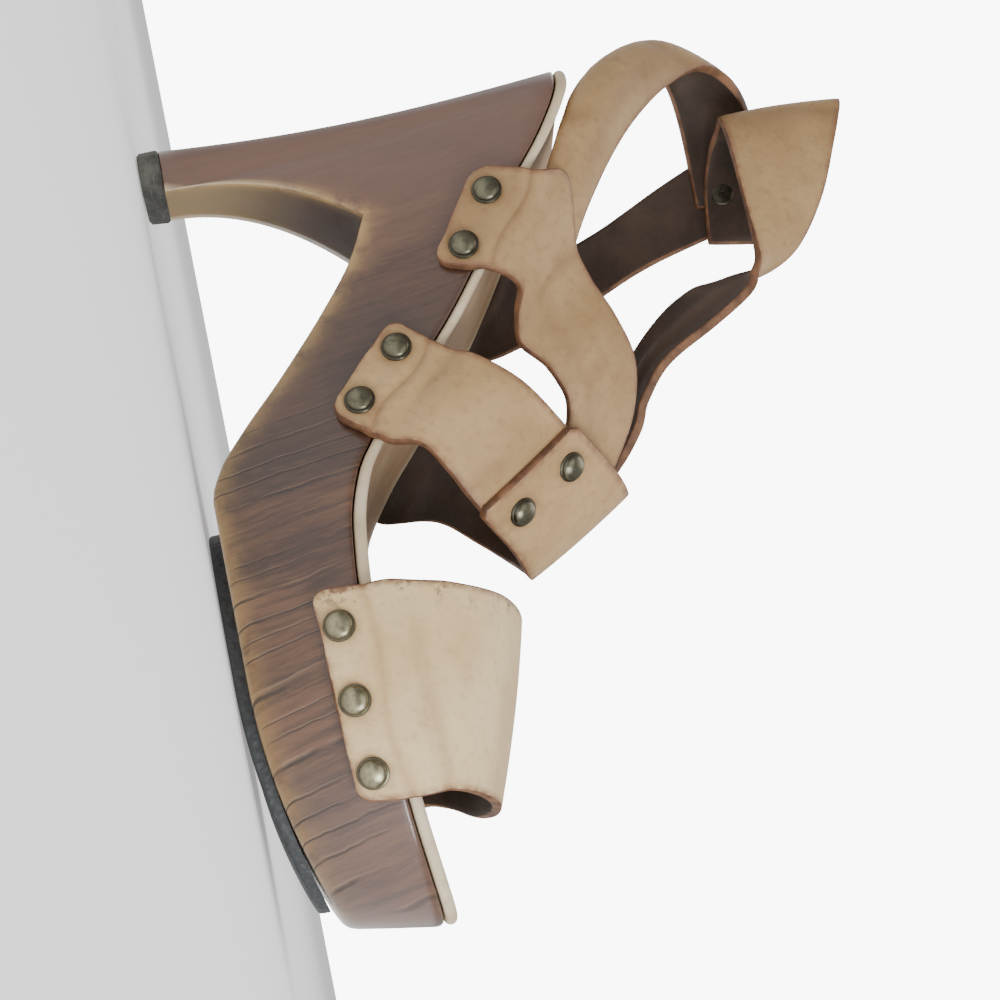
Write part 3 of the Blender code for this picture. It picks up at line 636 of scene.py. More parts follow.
def wood_cracks(look, ring, x):
    """Dark cracks along the rings of the forefoot, and the pale line beside each: a painted highlight on the
    crack's lip.
    """
    phase = look.times(ring, math.pi / RING_SPACING)
    phase = look.plus(phase, look.times(look.line_noise(ring, 60.0), 6.0))
    front = look.band(x, -0.070, -0.030)
    broken = look.times(look.band(look.noise(48.0, 2.0), 0.40, 0.56), front)
    broken = look.times(broken, look.plus(look.times(look.mark("low"), 0.7), 0.3))
    line = look.band(look.size_of(look.math("SINE", phase)), 0.05, 0.21, 1.0, 0.0)
    # Pale line of painted highlight just beside the crack.
    beside = look.math("SINE", look.plus(phase, 0.32))
    pale = look.band(look.size_of(beside), 0.0, 0.12, 1.0, 0.0)
    return look.times(line, broken), look.times(pale, broken)


def wood_colour(look, x, z, fine, fibre):
    """Stain in clouds and streaks, darker at the waist and below, redder and paler on the heel, partly
    painted sheen, a painted mauve sheen at the toe, worn at the edges.
    """
    heel = look.mark("heel")
    cloud = look.noise(1.0, 4.0, 0.55, look.stretched((40.0, 22.0, 14.0)))
    stain = look.mix(look.band(cloud, 0.3, 0.7), (0.060, 0.023, 0.011), (0.158, 0.069, 0.032))
    calm = look.minus(1.0, look.times(heel, 0.6))
    waist = look.times(look.band(x, -0.092, -0.070), look.band(x, -0.045, -0.015, 1.0, 0.0))
    breast = look.mix(look.band(z, 0.010, 0.050), (0.30, 0.21, 0.105), (0.040, 0.018, 0.010))
    worn = look.times(look.mark("wear"), look.band(look.noise(150.0, 4.0), 0.2, 0.6))
    return look.layers(
        stain,
        (look.times(look.band(fine, 0.40, 0.68, 0.0, 0.75), calm), (0.026, 0.009, 0.004)),
        (look.band(fibre, 0.48, 0.8, 0.0, 0.3), (0.22, 0.115, 0.060)),
        (look.times(waist, 0.6), (0.040, 0.017, 0.010)),
        # Painted sheen: mauve towards the toe.
        (look.band(x, 0.015, 0.075, 0.0, 0.4), (0.135, 0.088, 0.076)),
        # Heel: pinkish tone, partly the wood's own and partly painted sheen.
        (look.times(heel, 0.55), (0.190, 0.098, 0.068)),
        (look.times(look.mark("under"), 0.75), (0.048, 0.021, 0.012)),
        (look.times(look.mark("breast"), 0.9), breast),
        (look.times(worn, 0.85), (0.56, 0.34, 0.11)),
    )


def wood_look(name, lacquer, dullness):
    """Stained wood with rings across the sole, under more or less lacquer."""
    look = Look(name)
    parts = look.add("ShaderNodeSeparateXYZ", {"Vector": look.place})
    x, y, z = parts.outputs["X"], parts.outputs["Y"], parts.outputs["Z"]
    arch = look.times(look.math("POWER", look.plus(y, 0.012), 2.0), 7.0)
    sway = look.times(look.minus(look.noise(20.0, 2.0), 0.5), 0.006)
    shake = look.times(look.minus(look.noise(140.0, 2.0), 0.5), 0.0012)
    ring = look.plus(look.plus(x, arch), look.plus(sway, shake))
    ring = look.plus(ring, look.times(z, 0.10))
    crack, pale = wood_cracks(look, ring, x)
    strung = look.add("ShaderNodeCombineXYZ")
    for socket, value, scale in zip(strung.inputs, (ring, y, z), (520.0, 28.0, 28.0)):
        look.feed(socket, look.times(value, scale))
    fine = look.noise(1.0, 5.0, 0.68, strung.outputs["Vector"])
    fibre = look.noise(1.0, 4.0, 0.6, look.stretched((900.0, 900.0, 60.0)))
    colour = look.layers(
        wood_colour(look, x, z, fine, fibre),
        # Painted highlight beside each crack.
        (look.times(pale, 0.32), (0.46, 0.31, 0.18)),
        (look.times(crack, 0.92), (0.016, 0.008, 0.005)),
        (look.mark("line"), (0.66, 0.53, 0.36)),
    )
    dull = look.plus(look.dull(70.0, 4.0, 0.22, dullness), look.times(crack, 0.3))
    height = look.minus(look.plus(look.times(fine, 0.16), look.times(fibre, 0.12)), crack)
    look.bump(height, 0.5, 0.0005)
    return look.finish(colour, dull, Specular_IOR_Level=0.4, Coat_Weight=lacquer, Coat_Roughness=0.18)


def leather_look(name, dark, light, edge):
    """Natural leather: fine grain, uneven tan and burnished edges, with painted shade darkening its folds
    and a dark ring round its rivets that is painted shade and partly patina.
    """
    look = Look(name)
    scuff = look.times(look.mark("scuff"), look.band(look.noise(260.0, 5.0, 0.7), 0.55, 0.68))
    rim = look.times(look.mark("rim"), look.band(look.noise(330.0, 4.0), 0.2, 0.65))
    colour = look.layers(
        look.patches(38.0, 4.0, dark, light),
        (look.band(look.noise(420.0, 3.0), 0.45, 0.8, 0.0, 0.35), edge),
        # Painted shade in the creases.
        (look.times(look.mark("fold"), 0.55, True), edge),
        # Painted shade round the rivets, partly patina.
        (look.times(look.mark("stain"), 0.5, True), edge),
        (scuff, (0.17, 0.075, 0.036)),
        (rim, (0.22, 0.095, 0.045)),
    )
    height = look.plus(look.times(look.cells(1050.0), 0.5), look.noise(240.0, 5.0, 0.65))
    look.bump(height, 0.22, 0.0004)
    dull = look.dull(120.0, 3.0, 0.2, 0.42)
    return look.finish(colour, dull, Sheen_Weight=0.06, Sheen_Roughness=0.5)


def edge_look():
    look = Look("burnished_edge")
    colour = look.patches(180.0, 4.0, (0.095, 0.038, 0.016), (0.23, 0.105, 0.045))
    look.bump(look.noise(900.0, 4.0, 0.7), 0.4, 0.0004)
    return look.finish(colour, look.dull(300.0, 3.0, 0.25, 0.5))


def lining_look():
    look = Look("dark_lining")
    colour = look.patches(55.0, 4.0, (0.036, 0.020, 0.011), (0.074, 0.042, 0.025))
    # Painted highlight along the lining's folds.
    colour = look.mix(look.times(look.mark("fold"), 0.5, True), colour, (0.12, 0.072, 0.044))
    look.bump(look.noise(800.0, 5.0, 0.7), 0.25, 0.0004)
    dull = look.dull(150.0, 3.0, 0.2, 0.58)
    return look.finish(colour, dull, Sheen_Weight=0.08, Sheen_Roughness=0.5)


def insole_look():
    look = Look("insole_leather")
    cream = look.patches(60.0, 3.0, (0.60, 0.47, 0.30), (0.74, 0.61, 0.43))
    tan = look.patches(30.0, 4.0, (0.36, 0.225, 0.125), (0.47, 0.32, 0.19))
    colour = look.mix(look.mark("top"), cream, tan)
    colour = look.mix(look.band(look.noise(300.0, 4.0), 0.5, 0.8, 0.0, 0.3), colour, (0.33, 0.20, 0.10))
    look.bump(look.plus(look.times(look.cells(900.0), 0.5), look.noise(220.0, 4.0)), 0.18, 0.0004)
    return look.finish(colour, look.dull(90.0, 3.0, 0.2, 0.56), Specular_IOR_Level=0.25)


def pad_look():
    """Rubber with a moulded pebble surface, greyer on its rim."""
    look = Look("pebbled_rubber")
    pebble = look.cells(640.0, "SMOOTH_F1")
    colour = look.mix(look.band(pebble, 0.2, 0.7), (0.017, 0.022, 0.026), (0.006, 0.008, 0.010))
    colour = look.mix(look.band(look.noise(30.0, 4.0), 0.5, 0.75, 0.0, 0.4), colour, (0.028, 0.034, 0.037))
    colour = look.mix(look.times(look.mark("rim"), 0.45), colour, (0.070, 0.074, 0.075))
    height = look.minus(look.times(look.noise(500.0, 3.0), 0.4), pebble)
    look.bump(height, 0.7, 0.0007)
    return look.finish(colour, look.dull(200.0, 3.0, 0.25, 0.42))


def tip_look():
    look = Look("scuffed_rubber")
    scuffed = look.band(look.noise(140.0, 5.0, 0.7), 0.35, 0.7)
    colour = look.mix(scuffed, (0.030, 0.030, 0.026), (0.105, 0.100, 0.082))
    streak = look.noise(1.0, 4.0, 0.6, look.stretched((300.0, 300.0, 1500.0)))
    colour = look.mix(look.band(streak, 0.55, 0.75, 0.0, 0.6), colour, (0.19, 0.185, 0.16))
    look.bump(look.plus(look.noise(700.0, 4.0), streak), 0.4, 0.0004)
    return look.finish(colour, look.dull(200.0, 3.0, 0.25, 0.5))


def brass_look(name, bright, dark):
    look = Look(name)
    rubbed = look.band(look.noise(420.0, 4.0, 0.65), 0.25, 0.6, 0.35, 1.0)
    colour = look.mix(look.times(look.mark("crown"), rubbed), dark, bright)
    look.bump(look.noise(900.0, 3.0), 0.12, 0.0003)
    return look.finish(colour, look.dull(500.0, 4.0, 0.35, 0.16), Metallic=1.0)


LOOKS = {
    "wood": wood_look("stained_wood", 0.8, 0.24),
    "bare": wood_look("bare_wood", 0.0, 0.55),
    "tan": leather_look("tan_leather", (0.40, 0.238, 0.098), (0.54, 0.345, 0.158), (0.24, 0.120, 0.045)),
    # A darker copy of the tan leather: painted shade on the rear straps.
    "shaded_tan": leather_look("shade_painted_leather", (0.330, 0.193, 0.078), (0.455, 0.285, 0.128), (0.20, 0.100, 0.037)),
    # Paler than the tan: partly the toe strap's own tone, partly painted light falling from the toe side.
    "pale": leather_look("pale_leather", (0.68, 0.465, 0.220), (0.82, 0.605, 0.320), (0.45, 0.25, 0.10)),
    "edge": edge_look(),
    "lining": lining_look(),
    "insole": insole_look(),
    "pad": pad_look(),
    "tip": tip_look(),
    "brass": brass_look("antique_brass", (0.40, 0.36, 0.23), (0.075, 0.072, 0.050)),
    # A darker copy of the brass for all but the toe rivets: painted shade.
    "shade_painted_brass": brass_look("shade_painted_brass", (0.20, 0.185, 0.125), (0.050, 0.048, 0.036)),
}


# Making pieces
MERGE = 0.01              # points closer than this become one
SLIVER = 0.005            # edges shorter than this are dissolved


def new_object(name, data):
    made = bpy.data.objects.new(name, data)
    bpy.context.scene.collection.objects.link(made)
    return made


def loft(loops, capped):
    """Points and faces between closed loops of one length."""
    count = len(loops[0])
    points = [point for loop in loops for point in loop]
    faces = []
    for i in range(len(loops) - 1):
        for j in range(count):
            k = (j + 1) % count
            faces.append((i * count + j, i * count + k, (i + 1) * count + k, (i + 1) * count + j))
    if capped:
        faces.append(tuple(range(count)))
        faces.append(tuple(range(len(points) - count, len(points))))
    return points, faces


def make_piece(name, loops, looks, nodes, kinds=None, marks=None, sharp=40.0, capped=False):
    """A piece from loops in millimetres that stands for CAD nodes.

    Kinds gives each face its look, and marks give each point numbers that the materials read.
    """
    points, faces = loft(loops, capped)
    work = bmesh.new()
    layers = {key: work.verts.layers.float.new(key) for key in (marks or {})}
    made = []
    for i, (x, y, z) in enumerate(points):
        vert = work.verts.new(((x - FLOOR_POINT[0]) * MM, (y - FLOOR_POINT[1]) * MM, z * MM))
        for key, layer in layers.items():
            vert[layer] = float(marks[key][i])
        made.append(vert)
    for i, face in enumerate(faces):
        drawn = work.faces.new([made[k] for k in face])
        drawn.material_index = kinds[i] if kinds else 0
    bmesh.ops.remove_doubles(work, verts=work.verts, dist=MERGE * MM)
    bmesh.ops.dissolve_degenerate(work, edges=work.edges, dist=SLIVER * MM)
    bmesh.ops.recalc_face_normals(work, faces=work.faces)
    mesh = bpy.data.meshes.new(name)
    work.to_mesh(mesh)
    work.free()
    mesh.shade_smooth()
    mesh.set_sharp_from_angle(angle=math.radians(sharp))
    for look in looks:
        mesh.materials.append(LOOKS[look])
    piece = new_object(name, mesh)
    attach(piece, "root")
    if nodes:
        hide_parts(*nodes)


def bend(start, corner, end, steps):
    """Points of a round corner, its two ends left out."""
    shares = [i / steps for i in range(1, steps)]
    return [start * (1 - t) ** 2 + corner * 2 * t * (1 - t) + end * t ** 2 for t in shares]


def across(start, end, steps):
    return [start + (end - start) * i / steps for i in range(steps + 1)]


def closed_loops(chains):
    """Loops of a flat piece: across its top, down the outer side, back below and up the inner side."""
    loops = []
    for medial, lateral in zip(chains["medial"], chains["lateral"]):
        top = across(medial[0], lateral[0], FINE_ACROSS)[1:-1]
        under = across(lateral[-1], medial[-1], FINE_ACROSS)[1:-1]
        loops.append(top + lateral + under + medial[::-1])
    return loops


def loop_marks(top, side, under):
    """Marks of one such loop, with the same side twice."""
    inner = FINE_ACROSS - 1
    return [top] * inner + list(side) + [under] * inner + list(side)[::-1]


def inward_normals(points, side):
    """Plan directions that point into an outline, along one of its sides from back to front."""
    turn = 1.0 if side == "medial" else -1.0
    normals = [np.array([1.0, 0.0, 0.0])]
    for before, after in zip(points, points[2:]):
        along = after - before
        normals.append(unit(np.array([-along[1], along[0], 0.0]) * turn))
    normals.append(np.array([-1.0, 0.0, 0.0]))
    return normals


def ease(value, low, high):
    share = min(max((value - low) / (high - low), 0.0), 1.0)
    return share * share * (3.0 - 2.0 * share)


# Wooden sole

def fine_stations():
    ribs = HEEL_RIBS * FINE
    heel = [HEEL_TOP * (1.0 - math.cos(0.5 * math.pi * i / ribs)) for i in range(ribs + 1)]
    steps = FRONT_RIBS * FINE
    reach = LENGTH - HEEL_TOP
    front = [HEEL_TOP + reach * math.sin(0.5 * math.pi * i / steps) for i in range(1, steps + 1)]
    return heel + front


def fine_chain(x, side, inward_top, inward_foot):
    """Section of the wall from the top face, round both edges, to the lower face."""
    top = wall_point(x, side, 0.0)
    foot = wall_point(x, side, 1.0)
    height = max(distance(top, foot), 1.0)
    lower, upper = (along_table(EDGE_ROWS, x, index) for index in (1, 2))
    begin, end = upper / height, 1.0 - lower / height
    wall = [wall_point(x, side, begin + (end - begin) * i / FINE_SIDE) for i in range(FINE_SIDE + 1)]
    top_in = top + inward_top * upper
    foot_in = foot + inward_foot * lower
    upper_edge = [top_in] + bend(top_in, top, wall[0], UPPER_BEND)
    lower_edge = bend(wall[-1], foot, foot_in, LOWER_BEND) + [foot_in]
    return upper_edge + wall + lower_edge


def pad_distance(point):
    """How far a point of the underside lies outside the rubber pad."""
    x, y = point[0], point[1]
    low, high = PAD_ROWS[0][0], PAD_ROWS[-1][0]
    out = max(low - x, x - high, 0.0)
    inside = min(max(x, low), high)
    medial, lateral = (outline_y(PAD_ROWS, inside, side) for side in ("medial", "lateral"))
    return math.hypot(out, max(medial - y, y - lateral, 0.0))


def edge_wear(wall, under, far_foot, on_breast):
    """Wear of the wood along its lower edge and round the pad: on the wall and on the underside."""
    foot = wall[-1]
    on_wall = [math.exp(-((distance(point, foot) / WALL_WEAR) ** 1.4)) for point in wall]
    on_under = []
    for point in under:
        worn = math.exp(-min(distance(point, foot), distance(point, far_foot)) / UNDER_WEAR)
        if not on_breast and point[2] < FOREFOOT_TOP:
            worn = max(worn, 0.7 * math.exp(-pad_distance(point) / PAD_WEAR))
        on_under.append(worn)
    return on_wall, on_under


def sole_chains(stations):
    """Sections of both walls of the wooden sole."""
    chains = {}
    for side in ("medial", "lateral"):
        tops = [wall_point(x, side, 0.0) for x in stations]
        feet = [wall_point(x, side, 1.0) for x in stations]
        inward_feet = inward_normals(feet, side)
        for i in range(TIP_RIBS * FINE, HEEL_RIBS * FINE + 1):
            inward_feet[i] = np.array([0.0, 1.0 if side == "medial" else -1.0, 0.0])
        chains[side] = [fine_chain(x, side, at_top, at_foot) for x, at_top, at_foot in
                        zip(stations, inward_normals(tops, side), inward_feet)]
    return chains


def wood_sole():
    stations = fine_stations()
    chains = sole_chains(stations)
    loops = closed_loops(chains)
    size = len(chains["medial"][0])
    inner = FINE_ACROSS - 1
    plain = [0.0] * size
    lows = [k / (size - 1) for k in range(size)]
    turned_under = [0.0] * (size - 3) + [0.3, 0.7, 1.0]
    tip_end, breast_end = TIP_RIBS * FINE, HEEL_RIBS * FINE
    marks = {"wear": [], "heel": [], "breast": [], "low": [], "under": [], "line": []}
    kinds = []
    for i, wall in enumerate(chains["lateral"]):
        on_breast = tip_end <= i < breast_end
        worn_wall, worn_under, lines = plain, [0.0] * inner, plain
        if i >= tip_end:
            under = loops[i][inner + size:2 * inner + size]
            worn_wall, worn_under = edge_wear(wall, under, chains["medial"][i][-1], on_breast)
        if on_breast:
            fade_up = 1.0 - ease(i, tip_end, breast_end)
            away = np.array([distance(point, wall[-4]) for point in wall])
            lines = list(0.9 * fade_up * np.exp(-(away / PALE_LINE) ** 2))
        marks["wear"] += [0.0] * inner + worn_wall + worn_under + worn_wall[::-1]
        marks["heel"] += [1.0 - ease(stations[i], 30.0, 62.0)] * len(loops[i])
        marks["breast"] += loop_marks(0.0, plain, 1.0 if on_breast else 0.0)
        marks["low"] += loop_marks(0.0, lows, 1.0)
        marks["under"] += loop_marks(0.0, turned_under, 1.0)
        marks["line"] += loop_marks(0.0, lines, 0.0)
        kinds += loop_marks(0, [0] * size, 1 if on_breast else 0)
    make_piece("wood_sole", loops, ["wood", "bare"], ["sole_block"], kinds, marks, 50.0)


# Insole

def leather_insole():
    stations = fine_stations()
    bulge = 0.5 * INSOLE_THICKNESS
    turns = [math.pi * i / FINE_RIM for i in range(FINE_RIM + 1)]
    chains = {"medial": [], "lateral": []}
    for side, rims in chains.items():
        edge = [np.array([x, outline_y(TOP_ROWS, x, side), footbed_z(x)]) for x in stations]
        for point, normal in zip(edge, inward_normals(edge, side)):
            rim = []
            for turn in turns:
                inset = RIM_SETBACK + bulge * (1.0 - math.sin(turn))
                drop = bulge * (1.0 - math.cos(turn))
                rim.append(point + normal * inset + np.array([0.0, 0.0, -drop]))
            rims.append(rim)
    loops = closed_loops(chains)
    tops = []
    for loop in loops:
        width = distance(loop[FINE_ACROSS - 1], loop[-1])
        for j in range(FINE_ACROSS - 1):
            share = (j + 1) / FINE_ACROSS
            loop[j][2] -= DISH * min(width / DISH_WIDTH, 1.0) * (1.0 - (2.0 * share - 1.0) ** 4)
        tops += loop_marks(1.0, [0.25] + [0.0] * FINE_RIM, 0.0)
    make_piece("leather_insole", loops, ["insole"], ["insole"], None, {"top": tops}, 60.0)


# Rubber under the forefoot and the heel

def rubber_pad():
    first, last = PAD_ROWS[0][0], PAD_ROWS[-1][0]
    middle, reach = 0.5 * (first + last), 0.5 * (last - first)
    stations = [middle - reach * math.cos(math.pi * i / FINE_PAD) for i in range(FINE_PAD + 1)]
    chains = {}
    for side in ("medial", "lateral"):
        edge = [np.array([x, outline_y(PAD_ROWS, x, side), spring_z(x)]) for x in stations]
        chains[side] = []
        for point, normal in zip(edge, inward_normals(edge, side)):
            rim = [point + normal * inset + np.array([0.0, 0.0, rise]) for inset, rise, _ in PAD_PROFILE]
            chains[side].append(rim)
    loops = closed_loops(chains)
    greys = column(PAD_PROFILE, 2)
    rims = []
    for i in range(len(loops)):
        rims += loop_marks(0.0, greys, 1.0 if i in (0, FINE_PAD) else 0.0)
    make_piece("rubber_pad", loops, ["pad"], ["forefoot_pad"], None, {"rim": rims}, 45.0)


def rubber_tip():
    """D-shaped lift, a little proud of the heel, with worn lower edges."""
    loops = []
    centre = TIP_BACK + TIP_ROUND
    for z, grow in TIP_LEVELS:
        half = TIP_HALF_WIDTH + grow
        loop = [np.array([TIP_FRONT + grow, half * (1.0 - 2.0 * i / FINE_TIP_FRONT), z])
                for i in range(FINE_TIP_FRONT)]
        for i in range(FINE_TIP + 1):
            turn = math.pi * (i / FINE_TIP - 0.5)
            loop.append(np.array([centre - (TIP_ROUND + grow) * math.cos(turn), half * math.sin(turn), z]))
        loops.append(loop)
    make_piece("rubber_tip", loops, ["tip"], ["heel_tip"], capped=True)


# Straps

def anchored(side, anchors, drops, lean, count):
    """Rows across an anchored end, lying on the wooden wall."""
    rows = []
    for drop in drops:
        places = [x + lean * drop for x in np.linspace(*anchors, count + 1)]
        frames = [wall_frame(x, side, drop) for x in places]
        rows.append([point + normal * STRAP_SEAT for point, normal in frames])
    return rows


def folded(folds, count):
    """Rows across free folds, from the rear edge to the front edge."""
    return [across(np.array(fold[:3]), np.array(fold[3:]), count) for fold in folds]


def cupped(rows):
    """Rows of the heel loop, with their middle pushed out from the loop's centre."""
    for i, row in enumerate(rows):
        for j, point in enumerate(row):
            share = j / (len(row) - 1)
            out = point - np.array(HEEL_CENTRE)
            out[2] = 0.0
            push = HEEL_CUP * math.sin(math.pi * i / (len(rows) - 1)) ** 2
            row[j] = point + unit(out) * push * 4.0 * share * (1.0 - share)
    return rows


def strand(rows, index, at):
    """A point of one line along a strap, on a smooth curve through its rows."""
    i = min(int(at), len(rows) - 2)
    t = at - i
    p1, p2 = rows[i][index], rows[i + 1][index]
    p0 = rows[i - 1][index] if i > 0 else 2 * p1 - p2
    p3 = rows[i + 2][index] if i + 2 < len(rows) else 2 * p2 - p1
    curve = 2 * p1 + (p2 - p0) * t + (2 * p0 - 5 * p1 + 4 * p2 - p3) * t ** 2
    return 0.5 * (curve + (3 * p1 - p0 - 3 * p2 + p3) * t ** 3)


def strap_table():
    """Rows of each strap, with the round corners of its two ends."""
    medial, lateral = (anchored(side, TOE_ANCHORS[side], TOE_DROPS, 0.0, FINE_TOE_ACROSS)
                       for side in ("medial", "lateral"))
    toe = medial + folded(TOE_FOLDS, FINE_TOE_ACROSS) + lateral[::-1]
    straps = {"toe_strap": (toe, (TOE_CORNER, TOE_CORNER))}
    for name, tab, side, folds, corners in UPPER_STRAPS:
        rows = folded(folds, FINE_STRAP_ACROSS)
        if tab:
            anchors, drops, lean = TABS[tab]
            rows = anchored(side, anchors[side], drops, lean, FINE_STRAP_ACROSS) + rows
        straps[name] = (cupped(rows) if name == "heel_loop" else rows, corners)
    return straps


def strap_spot(rows, at, share):
    """Point on a strap's middle face, at a place along its rows and a share of its width."""
    count = len(rows[0]) - 1
    line = min(int(share * count), count - 1)
    part = share * count - line
    return strand(rows, line, at) * (1.0 - part) + strand(rows, line + 1, at) * part


def rivet_seats(straps):
    """Name, strap, seat and outward direction of each rivet."""
    seats = []
    for name, anchors, drop, lean, places, medial, lateral in WALL_RIVETS:
        for side, strap in (("medial", medial), ("lateral", lateral)):
            begin, end = anchors[side]
            for number, place in enumerate(places, start=1):
                x = begin + (end - begin) * place
                point, normal = wall_frame(x + lean * drop, side, drop)
                seats.append((f"rivet_{name}_{side}_{number}", strap, point + normal * STRAP_SEAT, normal))
    step = 0.1
    for name, strap, at, face, places in STRAP_RIVETS:
        rows = straps[strap][0]
        for number, share in enumerate(places, start=1):
            run = strap_spot(rows, at + step, share) - strap_spot(rows, at - step, share)
            side = strap_spot(rows, at, share + step) - strap_spot(rows, at, share - step)
            normal = unit(np.cross(run, side) * face)
            seats.append((f"rivet_{name}_{number}", strap, strap_spot(rows, at, share), normal))
    return seats


def round_off(grid, corner):
    """Narrow the first rows of a strap into two round corners."""
    width = distance(grid[0][-1], grid[0][0])
    start = grid[0][0].copy()
    count = len(grid[0]) - 1
    pulls = 1.0 - 2.0 * np.arange(count + 1) / count
    for i in range(len(grid)):
        travelled = distance(grid[i][0], start)
        if travelled >= corner:
            break
        inset = corner - math.sqrt(corner ** 2 - (corner - travelled) ** 2)
        pull = (grid[i][-1] - grid[i][0]) * CORNER_FULLNESS * inset / width
        grid[i] = grid[i] + pulls[:, None] * pull


def grid_normals(grid):
    run, side = np.gradient(grid, axis=(0, 1))
    normal = np.cross(run, side)
    return normal / np.linalg.norm(normal, axis=2)[:, :, None]


def fade(values, begin, end, over):
    """1 between two values, with soft ends."""
    return np.clip((values - begin) / over, 0.0, 1.0) * np.clip((end - values) / over, 0.0, 1.0)


def crease_relief(name, grid, places, length, shares):
    """How far a strap's creases push its face, and how strongly they mark it with painted shade on the grain
    side and a painted highlight on the lining.
    """
    push, folds = np.zeros(grid.shape[:2]), np.zeros(grid.shape[:2])
    for strap, row, depth, width, begin, end in CREASES:
        if strap == name:
            wander = np.sin(7.0 * shares + row)
            away = (length - np.interp(row, places, length))[:, None] + wander[None, :]
            reach = fade(shares, begin, end, 0.2)[None, :]
            line = np.exp(-(away / width) ** 2) * reach
            ridge = np.exp(-((np.abs(away) - RIDGE_PLACE * width) / width) ** 2) * reach
            push -= depth * line - RIDGE_SHARE * depth * ridge
            folds = np.maximum(folds, line * min(depth / MARKED_DEPTH, 1.0))
    breadth = np.linalg.norm(grid[:, -1] - grid[:, 0], axis=1)
    for strap, share, depth, width, begin, end in FOLD_LINES:
        if strap == name:
            away = (shares[None, :] - share - 0.04 * np.sin(places)[:, None]) * breadth[:, None]
            line = np.exp(-(away / width) ** 2) * fade(places, begin, end, 0.8)[:, None]
            push -= depth * line
            folds = np.maximum(folds, line * min(depth / MARKED_DEPTH, 1.0))
    return push, folds


def rivet_relief(name, grid, seats):
    """Dents round a strap's rivets, and a dark ring round each: painted shade, partly patina."""
    push, stain = np.zeros(grid.shape[:2]), np.zeros(grid.shape[:2])
    for _, strap, seat, _ in seats:
        if strap == name:
            away = np.linalg.norm(grid - seat, axis=2) - RIVET_RADIUS
            push -= DENT_DEPTH * np.exp(-(away / DENT_WIDTH) ** 2)
            stain = np.maximum(stain, np.exp(-(away / RIVET_SHADE_AND_PATINA_WIDTH) ** 2))
    return push, stain


def swell(name, places, length, shares, anchored_end):
    """Crown and ripple of a strap where it lies free of the wood."""
    free = np.clip((places - 3.0) / 2.0, 0.0, 1.0) if anchored_end else np.ones(len(places))
    if name == "toe_strap":
        free = free * np.clip((places[-1] - 3.0 - places) / 2.0, 0.0, 1.0)
    outward = (2.0 * shares - 1.0) ** 2
    ripple = RIPPLE * np.sin(length / RIPPLE_LENGTH)[:, None] * outward[None, :]
    return free[:, None] * (CROWN * (1.0 - outward)[None, :] + ripple)


def edge_marks(name, grid, length, shares):
    """Where a strap is burnished along its rim, and where its grain is scuffed."""
    breadth = np.linalg.norm(grid[:, -1] - grid[:, 0], axis=1)
    side_gap = np.minimum(shares, 1.0 - shares)[None, :] * breadth[:, None]
    end_gap = np.minimum(length, length[-1] - length)[:, None]
    rim = np.exp(-np.minimum(side_gap, end_gap) / BURNISH)
    scuff = np.zeros(grid.shape[:2])
    if name == "toe_strap":
        rear, front = np.exp(-(shares / 0.10) ** 2), 0.45 * np.exp(-((1.0 - shares) / 0.05) ** 2)
        scuff += np.maximum(rear, front)[None, :]
    return rim, scuff


def strap_section(grid, normals, i, thick, out):
    """Loop round a strap at one row, thinner and further out at its very ends."""
    lift = normals[i] * 0.5 * STRAP_THICKNESS * thick
    step = grid[1] - grid[0] if i == 0 else grid[-1] - grid[-2]
    row = grid[i] + step / np.linalg.norm(step, axis=1)[:, None] * (-out if i == 0 else out)
    side = unit(row[-1] - row[0])
    outer, inner = row + lift, row - lift
    for line in (outer, inner):
        line[0] += side * (RIM_INSET + out)
        line[-1] -= side * (RIM_INSET + out)
    right = [row[-1] - side * (inset + out) + lift[-1] * share for share, inset in RIM_PROFILE]
    left = [row[0] + side * (inset + out) - lift[0] * share for share, inset in RIM_PROFILE]
    return list(outer) + right + list(inner[::-1]) + left


